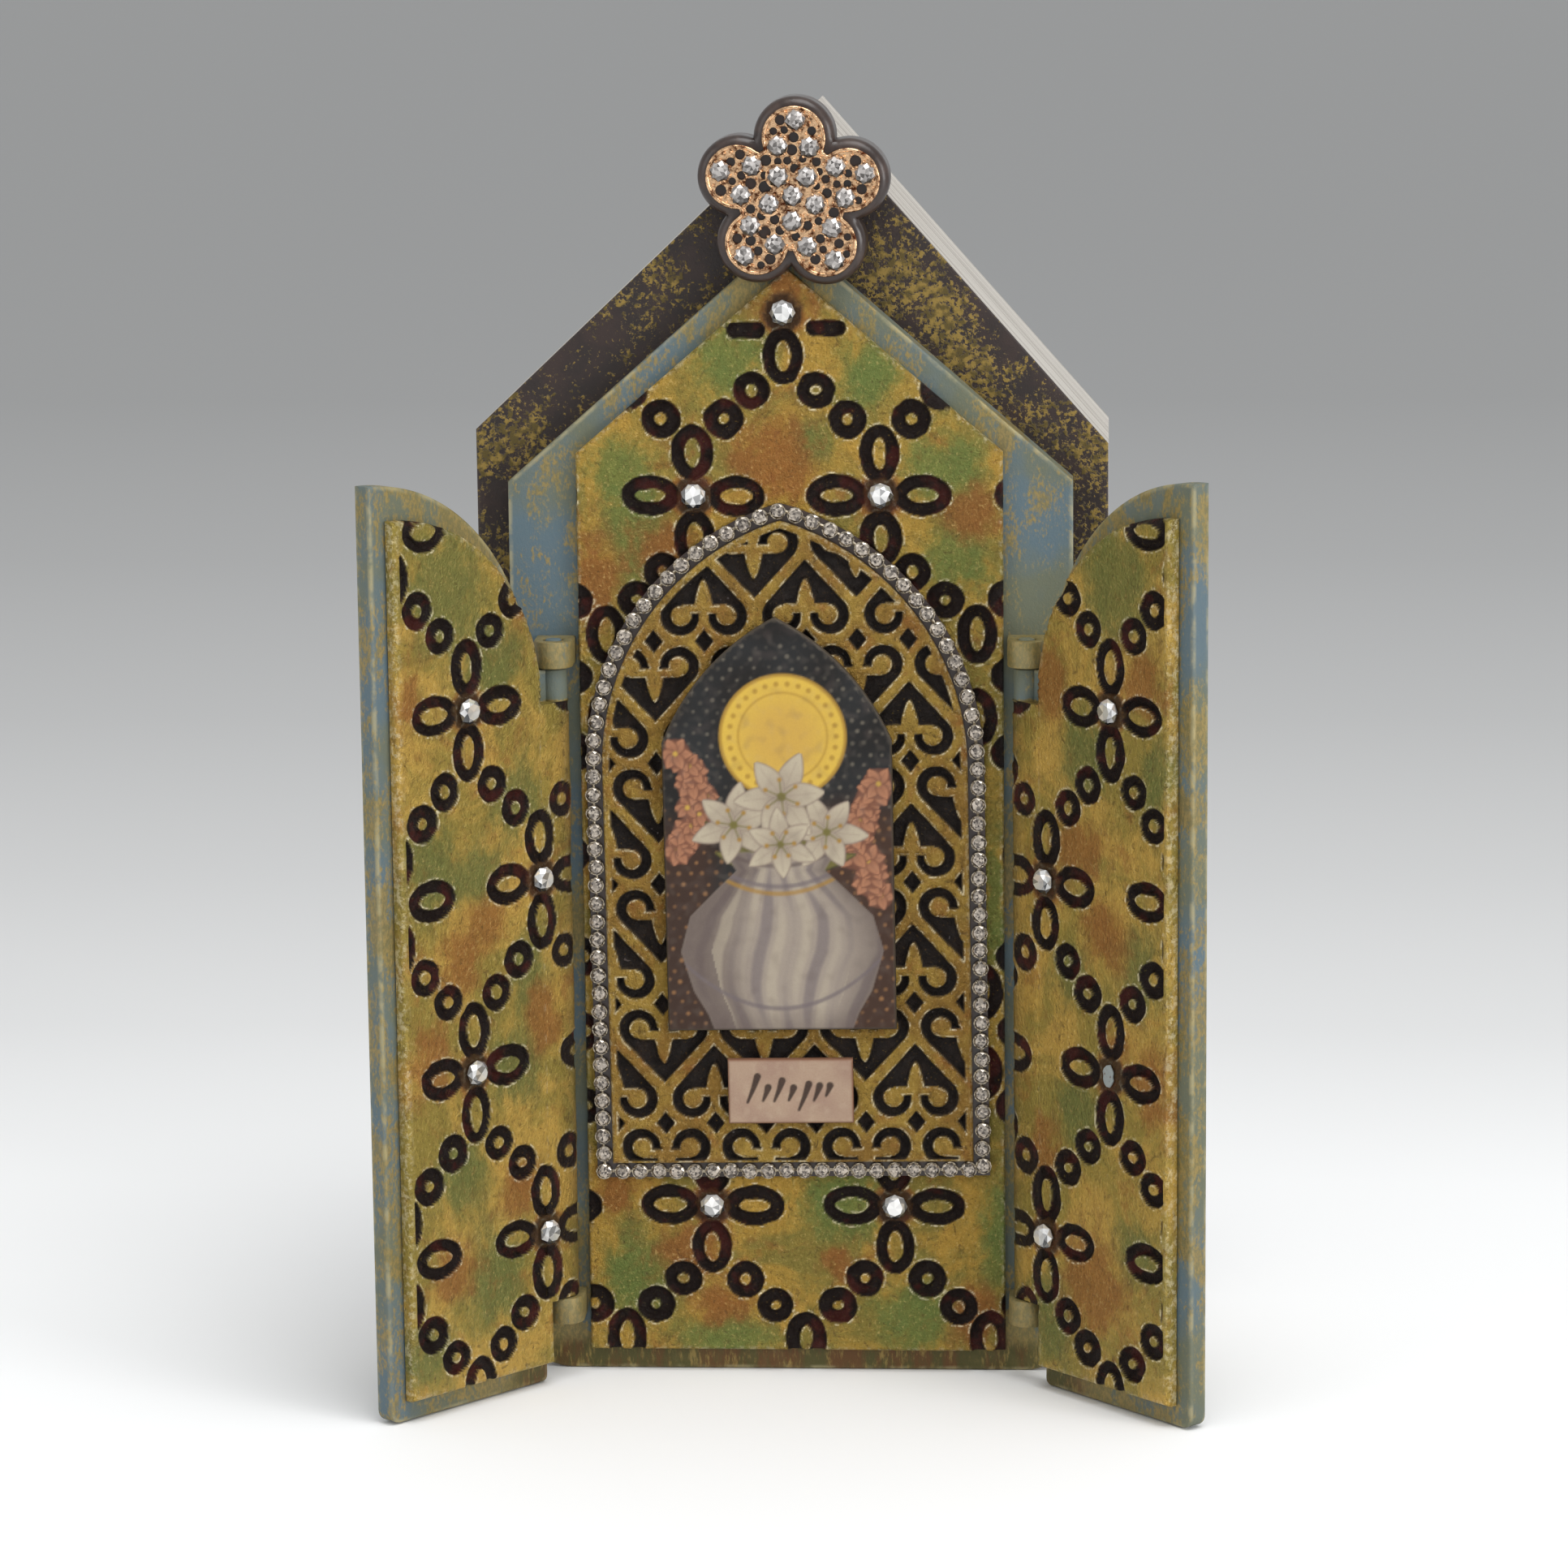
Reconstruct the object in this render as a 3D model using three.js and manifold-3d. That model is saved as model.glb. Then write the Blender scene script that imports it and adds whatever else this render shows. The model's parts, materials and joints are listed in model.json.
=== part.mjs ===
// A tabletop triptych altarpiece, in millimetres.
// +Z is up and the front looks along -Y. The origin is on the floor, under the middle of the back block.
// Layers from back to front: a thick gabled block, a blue gabled board, a gilded panel with a chain of
// flowers pressed into it, an arched scrollwork plaque inside a row of small stones, and two tiles.
// Two wings turn on pins that stand in four eyes on the blue board.

import * as THREE from 'three';
import { mergeVertices } from 'three/addons/utils/BufferGeometryUtils.js';
import Module from 'manifold-3d';

// ---------------------------------------------------------------- driving dimensions

const BLOCK = { halfWidth: 78.2, depth: 56, leftEave: 238, rightEave: 234, apexX: 5.6, apexZ: 316.7 };
const BOARD = { halfWidth: 69.5, eave: 226, apexZ: 287, thickness: 8.7, cornerRadius: 12 };
const PANEL = { halfWidth: 52.4, bottom: 5.7, eave: 233.5, apexZ: 278.5, thickness: 3.4 };
const PLAQUE = { halfWidth: 45.2, bottom: 55.3, springing: 155.8, arcShift: 19, thickness: 2.8, centreX: -0.6 };
const CHAIN = {
  offset: 2.4, halfWidth: 1.7, bandHeight: 0.8, pitch: 4.6, stoneRadius: 1.7, stoneSides: 6, stoneHeight: 2.2,
  seat: 0.2,
};
const PICTURE = {
  centreX: -1.7, bottom: 90, springing: 162.6, halfWidth: 28.4, arcShift: 27.2, arcDrop: 22.5, thickness: 2.4,
};
const WORD = { centreX: 0, centreZ: 74.2, width: 31.2, height: 16.3, thickness: 2.2 };
const BROOCH = {
  x: 1.6, z: 296.3, petalReach: 14.1, petalRadius: 7.6, petalSlope: 0.5, rim: 2.4, domeDepth: 5.4,
  plateThickness: 1.2, webRadius: 13, middleBack: 8.8, middleFront: 7.2, middleRise: 0.8, turn: 2,
};
const BROOCH_STONE = { radius: 2.3, table: 1.1, height: 1.3, seat: 0.2, petalRing: 4.3, middleRing: 5.9 };
const CRYSTAL = { foot: 3, radius: 3.3, table: 1.9, girdle: 0.7, height: 2.3 };
const GLUE = { halfWidth: 2.6, halfHeight: 2.9, thickness: 0.4 };

const WING = {
  width: 58.6, top: 231.5, floorGap: 0.3, thickness: 5.2, faceAhead: 0.4,
  hingeEdge: 6.8, archCentreZ: 174, outerCorner: 3, innerCorner: 1.5,
};
const WING_PANEL = { inner: 7.2, outer: 54, bottom: 5.6, top: 223, archCentreZ: 174, thickness: 3.4 };
const HINGE = { x: 58.2, ahead: 7.3, eyeRadius: 4.8, eyeHeight: 6.8, bore: 2.4, pin: 2.05, knuckle: 3.2 };
const EYE_BOTTOMS = { bottom: 14.5, top: 181.3 };
const OPEN_ANGLE = { left: 48.3, right: 46.6 };
const PIN_PROUD = 0.2;

const STACK_LEAN = 0.6;
const GLUE_GAP = 0.3;
const SOFT_EDGE = 0.5;
const CUT_MARGIN = 1;

// The pressed pattern: flowers on a diamond lattice, four petals each, joined by small rings.
const FLOWER = {
  halfPitchX: 22.95, halfPitchZ: 44.9, depth: 1.1,
  petalCentre: 10.5, petalHalfLength: 6.9, petalHalfWidth: 5.1, petalGroove: 2.7,
  ringX: 7.8, ringZ: 19, ringRadius: 4.2,
  edgeInset: 1.4,
};
const PANEL_FLOWERS = { x: 0.1, z: 178.1, lean: 0.75 };
const WING_FLOWERS = { left: 32.1, right: 33.9, z: 174.8 };

// A groove is pressed only where it shows: this far in from a panel's edge and outside the plaque.
const SHOWING = { side: 2, gable: 3, plaqueSide: 3, plaqueFoot: 2, shoulder: 6, shoulderSlope: 0.9 };

// The plaque's scrollwork: hearts and lozenges sunk between raised ribs.
const SCROLL = {
  columnPitch: 12.55, firstColumn: -31.65, rowPitch: 30.5, firstRow: 10.3, depth: 1.4, border: 1.7,
  lozengeX: 2.3, lozengeZ: 2.9, apex: 20, spear: 15.2, lobeRadius: 4.8, lobeZ: 6.2,
  curlRadius: 2.5, uprightLobeX: 5.9, hangingLobeX: 6.3, stem: 1.2, spearHalfWidth: 2.1, cleft: -0.4, barb: 0.6,
  curlStart: -0.75 * Math.PI, curlEnd: 0.5 * Math.PI,
};
const TILE_SHOULDER = 0.1;

const BLOCK_FRONT = -BLOCK.depth / 2;
const BOARD_FRONT = BLOCK_FRONT - BOARD.thickness;
const PANEL_FRONT = BOARD_FRONT - PANEL.thickness;
const HINGE_Y = BOARD_FRONT - HINGE.ahead;

// ---------------------------------------------------------------- materials

const paint = (color, roughness, metalness = 0) =>
  new THREE.MeshStandardMaterial({ color, roughness, metalness });

const MATERIALS = {
  speckledBrown: paint(0x2e2019, 0.7),
  dustyBlue: paint(0x6f7d86, 0.75),
  gilt: paint(0x9c7a35, 0.45, 0.5),
  brightGilt: paint(0xa8832f, 0.4, 0.6),
  crystal: paint(0xd8dbe0, 0.1, 0.2),
  picture: paint(0x5d5a5e, 0.6),
  pinkPaper: paint(0xc7a595, 0.8),
  darkResin: paint(0x2b211d, 0.3),
  roseGold: paint(0xc99d7c, 0.35, 0.9),
  glue: paint(0x6c6a68, 0.85),
};

// ---------------------------------------------------------------- solids, joined and cut

const manifold = await Module();
manifold.setup();

function toSolid(geometry) {
  const bare = geometry.clone();
  bare.deleteAttribute('normal');
  bare.deleteAttribute('uv');
  const merged = mergeVertices(bare, 1e-4);
  const mesh = new manifold.Mesh({
    numProp: 3,
    vertProperties: new Float32Array(merged.attributes.position.array),
    triVerts: new Uint32Array(merged.index.array),
  });
  return new manifold.Manifold(mesh);
}

function toGeometry(solid) {
  const mesh = solid.getMesh();
  const geometry = new THREE.BufferGeometry();
  geometry.setAttribute('position', new THREE.BufferAttribute(new Float32Array(mesh.vertProperties), 3));
  geometry.setIndex(new THREE.BufferAttribute(new Uint32Array(mesh.triVerts), 1));
  geometry.computeVertexNormals();
  return geometry;
}

function joinAll(solids) {
  return solids.reduce((whole, solid) => whole.add(solid));
}

// ---------------------------------------------------------------- outlines and plates

function shapeOf(points) {
  return new THREE.Shape(points.map(([x, z]) => new THREE.Vector2(x, z)));
}

// A plate stands upright: the shape's x and y become X and Z, its back is at `back` and it grows
// towards the front, -Y.
function plate(shape, back, thickness, { softEdge = 0, curveSegments = 6 } = {}) {
  const geometry = new THREE.ExtrudeGeometry(shape, {
    depth: thickness - 2 * softEdge,
    bevelEnabled: softEdge > 0,
    bevelThickness: softEdge,
    bevelSize: softEdge,
    bevelOffset: -softEdge,
    bevelSegments: 1,
    curveSegments,
  });
  geometry.translate(0, 0, softEdge);
  geometry.rotateX(Math.PI / 2);
  geometry.translate(0, back, 0);
  return geometry;
}

// A cutter sinks `depth` into a face at `front` and stands a little proud of it.
function pocket(shape, front, depth, curveSegments = 6) {
  return toSolid(plate(shape, front + depth, depth + CUT_MARGIN, { curveSegments }));
}

// A pointed arch: straight sides up to the springing, then two arcs whose centres lie `arcShift`
// beyond the middle line, on the far side from their arc, and `arcDrop` below the springing.
function archShape({ halfWidth, bottom, springing, arcShift, arcDrop = 0, centreX = 0 }, grow = 0) {
  const radius = Math.hypot(halfWidth + arcShift, arcDrop) + grow;
  const apexAngle = Math.acos(arcShift / radius);
  const footAngle = Math.asin(arcDrop / radius);
  const centreZ = springing - arcDrop;
  const shape = new THREE.Shape();
  shape.moveTo(centreX - halfWidth - grow, bottom - grow);
  shape.lineTo(centreX + halfWidth + grow, bottom - grow);
  shape.lineTo(centreX + halfWidth + grow, springing);
  shape.absarc(centreX - arcShift, centreZ, radius, footAngle, apexAngle, false);
  shape.absarc(centreX + arcShift, centreZ, radius, Math.PI - apexAngle, Math.PI - footAngle, false);
  shape.closePath();
  return shape;
}

function gablePoints({ halfWidth, bottom, eave, apexZ }, inset = 0) {
  const slope = (apexZ - eave) / halfWidth;
  const drop = inset * Math.hypot(1, slope);
  const side = halfWidth - inset;
  return [
    [-side, bottom + inset],
    [side, bottom + inset],
    [side, apexZ - slope * side - drop],
    [0, apexZ - drop],
    [-side, apexZ - slope * side - drop],
  ];
}

// ---------------------------------------------------------------- the block and the boards

function backBlock() {
  const outline = shapeOf([
    [-BLOCK.halfWidth, 0],
    [BLOCK.halfWidth, 0],
    [BLOCK.halfWidth, BLOCK.rightEave],
    [BLOCK.apexX, BLOCK.apexZ],
    [-BLOCK.halfWidth, BLOCK.leftEave],
  ]);
  return plate(outline, BLOCK.depth / 2, BLOCK.depth, { softEdge: SOFT_EDGE });
}

function boardShape() {
  const { halfWidth, eave, apexZ, cornerRadius } = BOARD;
  const shape = new THREE.Shape();
  shape.moveTo(-halfWidth + cornerRadius, 0);
  shape.lineTo(halfWidth - cornerRadius, 0);
  shape.absarc(halfWidth - cornerRadius, cornerRadius, cornerRadius, -Math.PI / 2, 0, false);
  shape.lineTo(halfWidth, eave);
  shape.lineTo(0, apexZ);
  shape.lineTo(-halfWidth, eave);
  shape.absarc(-halfWidth + cornerRadius, cornerRadius, cornerRadius, Math.PI, 1.5 * Math.PI, false);
  return shape;
}

// An eye for a hinge pin, round in front and straight back to the board.
function hingeEye() {
  const { eyeRadius, eyeHeight, ahead, bore } = HINGE;
  const shape = new THREE.Shape();
  shape.moveTo(eyeRadius, ahead);
  shape.lineTo(-eyeRadius, ahead);
  shape.absarc(0, 0, eyeRadius, Math.PI, 2 * Math.PI, false);
  shape.closePath();
  shape.holes.push(new THREE.Path().absarc(0, 0, bore, 0, 2 * Math.PI, true));
  return new THREE.ExtrudeGeometry(shape, { depth: eyeHeight, bevelEnabled: false, curveSegments: 6 });
}

// ---------------------------------------------------------------- the pressed chain of flowers

function ellipsePoints(x, z, halfX, halfZ, sides, phase = 0) {
  return Array.from({ length: sides }, (_, i) => {
    const angle = phase + (2 * Math.PI * i) / sides;
    return [x + halfX * Math.cos(angle), z + halfZ * Math.sin(angle)];
  });
}

function flowerShapes(x, z) {
  const { petalCentre, petalHalfLength, petalHalfWidth, petalGroove, ringX, ringZ, ringRadius } = FLOWER;
  const shapes = [];
  for (const [dx, dz] of [[1, 0], [-1, 0], [0, 1], [0, -1]]) {
    const halfX = dx ? petalHalfLength : petalHalfWidth;
    const halfZ = dz ? petalHalfLength : petalHalfWidth;
    const [px, pz] = [x + dx * petalCentre, z + dz * petalCentre];
    const phase = dx ? 0 : Math.PI / 2;
    const petal = shapeOf(ellipsePoints(px, pz, halfX, halfZ, 6, phase));
    const island = ellipsePoints(px, pz, halfX - petalGroove, halfZ - petalGroove, 4, phase);
    petal.holes.push(new THREE.Path(island.map(([u, v]) => new THREE.Vector2(u, v))));
    shapes.push(petal);
  }
  for (const sx of [-1, 1]) {
    for (const sz of [-1, 1]) {
      shapes.push(shapeOf(ellipsePoints(x + sx * ringX, z + sz * ringZ, ringRadius, ringRadius, 6)));
    }
  }
  return shapes;
}

// Flower centres on the lattice through (x, z) that come near the box, leaning over as they rise.
function flowerCentres(x, z, box, lean = 0) {
  const reach = FLOWER.ringZ + FLOWER.ringRadius;
  const centres = [];
  for (let row = -6; row <= 6; row += 1) {
    for (let column = -6; column <= 6; column += 1) {
      const fz = z + row * FLOWER.halfPitchZ;
      const fx = x + column * FLOWER.halfPitchX - (fz - z) * Math.tan(THREE.MathUtils.degToRad(lean));
      const onLattice = (row + column) % 2 === 0;
      const near = fx > box.minX - reach && fx < box.maxX + reach && fz > box.minZ - reach && fz < box.maxZ + reach;
      if (onLattice && near) centres.push([fx, fz]);
    }
  }
  return centres;
}

function pressFlowers(blank, centres, fieldShape, front, hidden = () => false) {
  const grooves = centres
    .flatMap(([x, z]) => flowerShapes(x, z))
    .filter((shape) => !hidden(shape))
    .map((shape) => pocket(shape, front, FLOWER.depth));
  const field = pocket(fieldShape, front, 2 * FLOWER.depth);
  return toGeometry(toSolid(blank).subtract(joinAll(grooves).intersect(field)));
}

function hasPointWhere(shape, test) {
  return shape.getPoints(1).some((point) => test(point));
}

function underPlaque(shape) {
  const cover = PLAQUE.halfWidth - SHOWING.plaqueSide;
  const shoulder = PLAQUE.springing + SHOWING.shoulder;
  return !hasPointWhere(shape, ({ x, y }) => {
    const beside = Math.abs(x - PLAQUE.centreX) > cover || y < PLAQUE.bottom + SHOWING.plaqueFoot;
    const above = y > shoulder + (cover - Math.abs(x)) * SHOWING.shoulderSlope;
    return beside || above;
  });
}

function centrePanel() {
  const blank = plate(shapeOf(gablePoints(PANEL)), BOARD_FRONT, PANEL.thickness);
  const field = shapeOf(gablePoints(PANEL, FLOWER.edgeInset));
  const box = { minX: -PANEL.halfWidth, maxX: PANEL.halfWidth, minZ: PANEL.bottom, maxZ: PANEL.apexZ };
  const { x, z, lean } = PANEL_FLOWERS;
  return pressFlowers(blank, flowerCentres(x, z, box, lean), field, PANEL_FRONT, (shape) =>
    underPlaque(shape) || !hasPointWhere(shape, ({ x: u, y: v }) => {
      const roof = PANEL.apexZ - ((PANEL.apexZ - PANEL.eave) / PANEL.halfWidth) * Math.abs(u);
      const inside = Math.abs(u) < PANEL.halfWidth - SHOWING.side && v > PANEL.bottom + SHOWING.side;
      return inside && v < roof - SHOWING.gable;
    }));
}

// ---------------------------------------------------------------- the plaque, its chain and the tiles

// One heart, standing on the lozenge below it. A spear with two round curls is left standing inside,
// on a stem that rises between the lobes.
function heartPoints(lobeX) {
  const { apex, spear, lobeRadius, lobeZ, curlRadius, stem, spearHalfWidth, cleft, barb } = SCROLL;
  const rise = Math.atan2(apex - lobeZ, lobeX);
  const reach = Math.hypot(lobeX, apex - lobeZ);
  const tangent = Math.PI - rise - Math.acos(lobeRadius / reach);
  const inner = -Math.PI + Math.acos(Math.min(1, (lobeX - stem) / lobeRadius));
  const arc = (radius, from, to, steps) => Array.from({ length: steps + 1 }, (_, i) => {
    const angle = from + ((to - from) * i) / steps;
    return [lobeX + radius * Math.cos(angle), lobeZ + radius * Math.sin(angle)];
  });
  const outer = arc(lobeRadius, tangent, inner, 3);
  const curl = arc(curlRadius, SCROLL.curlStart, SCROLL.curlEnd, 2);
  const rightSide = [...outer, [stem, lobeZ - cleft], ...curl, [spearHalfWidth, lobeZ + curlRadius + barb]];
  const leftSide = rightSide.map(([x, z]) => [-x, z]).reverse();
  return [[0, apex], ...rightSide, [0, spear], ...leftSide];
}

function lozengePoints() {
  const { lozengeX, lozengeZ } = SCROLL;
  return [[lozengeX, 0], [0, lozengeZ], [-lozengeX, 0], [0, -lozengeZ]];
}

function placed(points, x, z, upright = true) {
  return points.map(([u, v]) => [x + u, upright ? z + v : z - v]);
}

// Everything that the two tiles cover stays plain.
function underTiles(points) {
  const shoulder = PICTURE.springing + PICTURE.halfWidth * TILE_SHOULDER;
  return points.every(([x, z]) => {
    const underPicture = Math.abs(x - PICTURE.centreX) < PICTURE.halfWidth && z > PICTURE.bottom && z < shoulder;
    const underWord = Math.abs(x - WORD.centreX) < WORD.width / 2 && Math.abs(z - WORD.centreZ) < WORD.height / 2;
    return underPicture || underWord;
  });
}

function scrollCutters(front) {
  const { columnPitch, firstColumn, rowPitch, firstRow, depth, uprightLobeX, hangingLobeX } = SCROLL;
  const cutters = [];
  for (let row = 0; row <= 5; row += 1) {
    const z = PLAQUE.bottom + firstRow + row * rowPitch;
    for (let column = -1; column <= 6; column += 1) {
      const x = firstColumn + column * columnPitch;
      const hanging = column % 2 === 0;
      const heart = placed(heartPoints(hanging ? hangingLobeX : uprightLobeX), x, z, !hanging);
      for (const points of [heart, placed(lozengePoints(), x, z)]) {
        if (!underTiles(points)) cutters.push(pocket(shapeOf(points), front, depth));
      }
    }
  }
  return joinAll(cutters);
}

function archPlaque() {
  const outline = { ...PLAQUE, centreX: 0 };
  const front = -PLAQUE.thickness;
  const field = pocket(archShape(outline, -SCROLL.border), front, 2 * SCROLL.depth, 10);
  const blank = toSolid(plate(archShape(outline), 0, PLAQUE.thickness, { curveSegments: 10 }));
  return toGeometry(blank.subtract(scrollCutters(front).intersect(field)));
}

// A band of settings round the plaque, with one low pointed stone for each pitch of its length.
function stoneChain() {
  const outline = { ...PLAQUE, centreX: 0 };
  const { offset, halfWidth, bandHeight, pitch, stoneRadius, stoneSides, stoneHeight, seat } = CHAIN;
  const ring = archShape(outline, offset + halfWidth);
  ring.holes.push(new THREE.Path(archShape(outline, offset - halfWidth).getPoints(10)));
  const band = toSolid(plate(ring, 0, bandHeight, { curveSegments: 10 }));
  const line = archShape(outline, offset);
  line.curves = line.curves.filter((curve) => curve.getLength() > 0.01);
  const count = Math.round(line.getLength() / pitch);
  const sunk = bandHeight - seat;
  const stones = line.getSpacedPoints(count).slice(0, count).map((point) => {
    const stone = new THREE.ConeGeometry(stoneRadius, stoneHeight - sunk, stoneSides);
    return toSolid(stone.rotateX(Math.PI).translate(point.x, -(sunk + stoneHeight) / 2, point.y));
  });
  return toGeometry(joinAll([band, ...stones]));
}

function pictureTile() {
  return plate(archShape(PICTURE), 0, PICTURE.thickness, { softEdge: 0.4, curveSegments: 5 });
}

function wordTile() {
  const [x, z] = [WORD.width / 2, WORD.height / 2];
  const outline = placed([[-x, -z], [x, -z], [x, z], [-x, z]], WORD.centreX, WORD.centreZ);
  return plate(shapeOf(outline), 0, WORD.thickness, { softEdge: 0.3 });
}

// ---------------------------------------------------------------- the brooch

function petalCentres() {
  return Array.from({ length: 5 }, (_, i) => {
    const angle = THREE.MathUtils.degToRad(90 - BROOCH.turn + 72 * i);
    return { x: BROOCH.petalReach * Math.cos(angle), z: BROOCH.petalReach * Math.sin(angle), angle };
  });
}

function disc(x, z, back, thickness, backRadius, frontRadius, sides) {
  const geometry = new THREE.CylinderGeometry(backRadius, frontRadius, thickness, sides);
  return toSolid(geometry.translate(x, back - thickness / 2, z));
}

// The dark flower behind the brooch stands on the block's face and is cut away round the board's apex.
function broochBase() {
  const { petalRadius, petalSlope, rim, domeDepth } = BROOCH;
  const wide = petalRadius + rim;
  const shoulder = BOARD_FRONT - domeDepth / 2;
  const straight = BLOCK_FRONT - shoulder;
  const lobes = petalCentres().flatMap(({ x, z }) => [
    disc(x, z, BLOCK_FRONT, straight, wide, wide, 9),
    disc(x, z, shoulder, domeDepth / 2, wide, petalRadius - petalSlope, 9),
  ]);
  const middle = disc(0, 0, BLOCK_FRONT, straight + domeDepth / 2, wide, wide, 5);
  const flower = joinAll([middle, ...lobes]).translate([BROOCH.x, 0, BROOCH.z]);
  const { halfWidth, eave, apexZ } = BOARD;
  const slope = (apexZ - eave) / halfWidth;
  const lift = GLUE_GAP * Math.hypot(1, slope);
  const notch = shapeOf([
    [-halfWidth, 0],
    [halfWidth, 0],
    [halfWidth, eave + lift],
    [0, apexZ + lift],
    [-halfWidth, eave + lift],
  ]);
  return toGeometry(flower.subtract(toSolid(plate(notch, 0, -BOARD_FRONT + GLUE_GAP))));
}

function broochFace() {
  const { petalRadius, petalSlope, plateThickness, domeDepth, middleRise, webRadius } = BROOCH;
  const { radius, table, height, seat, petalRing, middleRing } = BROOCH_STONE;
  const back = BOARD_FRONT - domeDepth - GLUE_GAP;
  const front = back - plateThickness;
  const web = disc(0, 0, back, plateThickness, webRadius, webRadius - petalSlope, 10);
  const middle = disc(0, 0, back, plateThickness + middleRise, BROOCH.middleBack, BROOCH.middleFront, 10);
  const petals = [];
  const stones = [];
  const setStone = (x, z, angle, reach, raised) => stones.push(
    disc(x + reach * Math.cos(angle), z + reach * Math.sin(angle), front - raised + seat, height, radius, table, 4));
  for (const { x, z, angle } of petalCentres()) {
    petals.push(disc(x, z, back, plateThickness, petalRadius, petalRadius - petalSlope, 12));
    for (let i = 0; i < 3; i += 1) setStone(x, z, angle + (2 * Math.PI * i) / 3, petalRing, 0);
    setStone(0, 0, angle + Math.PI / 5, middleRing, middleRise);
  }
  setStone(0, 0, 0, 0, middleRise);
  return toGeometry(joinAll([web, middle, ...petals, ...stones]).translate([BROOCH.x, 0, BROOCH.z]));
}

// ---------------------------------------------------------------- the wings

// A wing's own frame has its pin axis at the origin and X runs along the wing, to `side`.
function wingShape(side) {
  const { width, top, floorGap, hingeEdge, archCentreZ, outerCorner, innerCorner } = WING;
  const tongueBottom = EYE_BOTTOMS.bottom + HINGE.eyeHeight + GLUE_GAP;
  const tongueTop = EYE_BOTTOMS.top - GLUE_GAP;
  const shape = new THREE.Shape();
  shape.moveTo(hingeEdge + innerCorner, floorGap);
  shape.lineTo(width - outerCorner, floorGap);
  shape.absarc(width - outerCorner, floorGap + outerCorner, outerCorner, -Math.PI / 2, 0, false);
  shape.lineTo(width, top);
  const archRise = top - archCentreZ;
  const archEnd = Math.PI - Math.asin((tongueTop - archCentreZ) / archRise);
  shape.absellipse(width, archCentreZ, width - hingeEdge, archRise, Math.PI / 2, archEnd, false, 0);
  shape.lineTo(0, tongueTop);
  shape.lineTo(0, tongueBottom);
  shape.lineTo(hingeEdge, tongueBottom);
  shape.lineTo(hingeEdge, floorGap + innerCorner);
  shape.absarc(hingeEdge + innerCorner, floorGap + innerCorner, innerCorner, Math.PI, 1.5 * Math.PI, false);
  return mirrored(shape, side);
}

function mirrored(shape, side) {
  return shapeOf(shape.getPoints(6).map(({ x, y }) => [side * x, y]));
}

function cylinderAlongZ(radius, bottom, top, sides) {
  const geometry = new THREE.CylinderGeometry(radius, radius, top - bottom, sides);
  return toSolid(geometry.rotateX(Math.PI / 2).translate(0, 0, (bottom + top) / 2));
}

function wingBoard(side) {
  const back = WING.thickness - WING.faceAhead;
  const leaf = toSolid(plate(wingShape(side), back, WING.thickness));
  const knuckleBottom = EYE_BOTTOMS.bottom + HINGE.eyeHeight + GLUE_GAP;
  const knuckle = cylinderAlongZ(HINGE.knuckle, knuckleBottom, EYE_BOTTOMS.top - GLUE_GAP, 10);
  const pinTop = EYE_BOTTOMS.top + HINGE.eyeHeight + PIN_PROUD;
  const pin = cylinderAlongZ(HINGE.pin, EYE_BOTTOMS.bottom + PIN_PROUD, pinTop, 8);
  return toGeometry(joinAll([leaf, knuckle, pin]));
}

function wingPanelShape(side, inset = 0) {
  const { inner, outer, bottom, top, archCentreZ } = WING_PANEL;
  const shape = new THREE.Shape();
  shape.moveTo(inner + inset, bottom + inset);
  shape.lineTo(outer - inset, bottom + inset);
  shape.lineTo(outer - inset, top - inset);
  shape.absellipse(
    outer - inset, archCentreZ, outer - inner - 2 * inset, top - inset - archCentreZ, Math.PI / 2, Math.PI, false, 0);
  return mirrored(shape, side);
}

function wingPanel(side, columnX) {
  const back = -WING.faceAhead - GLUE_GAP;
  const front = back - WING_PANEL.thickness;
  const blank = plate(wingPanelShape(side), back, WING_PANEL.thickness);
  const { inner, outer, bottom, top, archCentreZ } = WING_PANEL;
  const box = side > 0
    ? { minX: inner, maxX: outer, minZ: bottom, maxZ: top }
    : { minX: -outer, maxX: -inner, minZ: bottom, maxZ: top };
  const centres = flowerCentres(side * columnX, WING_FLOWERS.z, box);
  return pressFlowers(blank, centres, wingPanelShape(side, FLOWER.edgeInset), front, (shape) =>
    !hasPointWhere(shape, ({ x, y }) => {
      const across = Math.max(0, (outer - side * x) / (outer - inner));
      const arch = archCentreZ + (top - archCentreZ) * Math.sqrt(Math.max(0, 1 - across ** 2));
      const { side: rim } = SHOWING;
      return side * x > inner + rim && side * x < outer - rim && y > bottom + rim && y < arch - rim;
    }));
}

// ---------------------------------------------------------------- the crystals

function crystal() {
  const { foot, radius, table, girdle, height } = CRYSTAL;
  const profile = [[0, 0], [foot, 0], [radius, girdle], [table, height], [0, height]];
  const geometry = new THREE.LatheGeometry(profile.map(([r, y]) => new THREE.Vector2(r, y)), 7);
  return toGeometry(toSolid(geometry.rotateX(Math.PI)));
}

function gluePatch() {
  return plate(shapeOf(ellipsePoints(0, 0, GLUE.halfWidth, GLUE.halfHeight, 6, Math.PI / 2)), 0, GLUE.thickness);
}

// ---------------------------------------------------------------- assembly

function part(name, geometry, material, [x, y, z] = [0, 0, 0]) {
  const mesh = new THREE.Mesh(geometry, material);
  mesh.name = name;
  mesh.position.set(x, y, z);
  return mesh;
}

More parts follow.
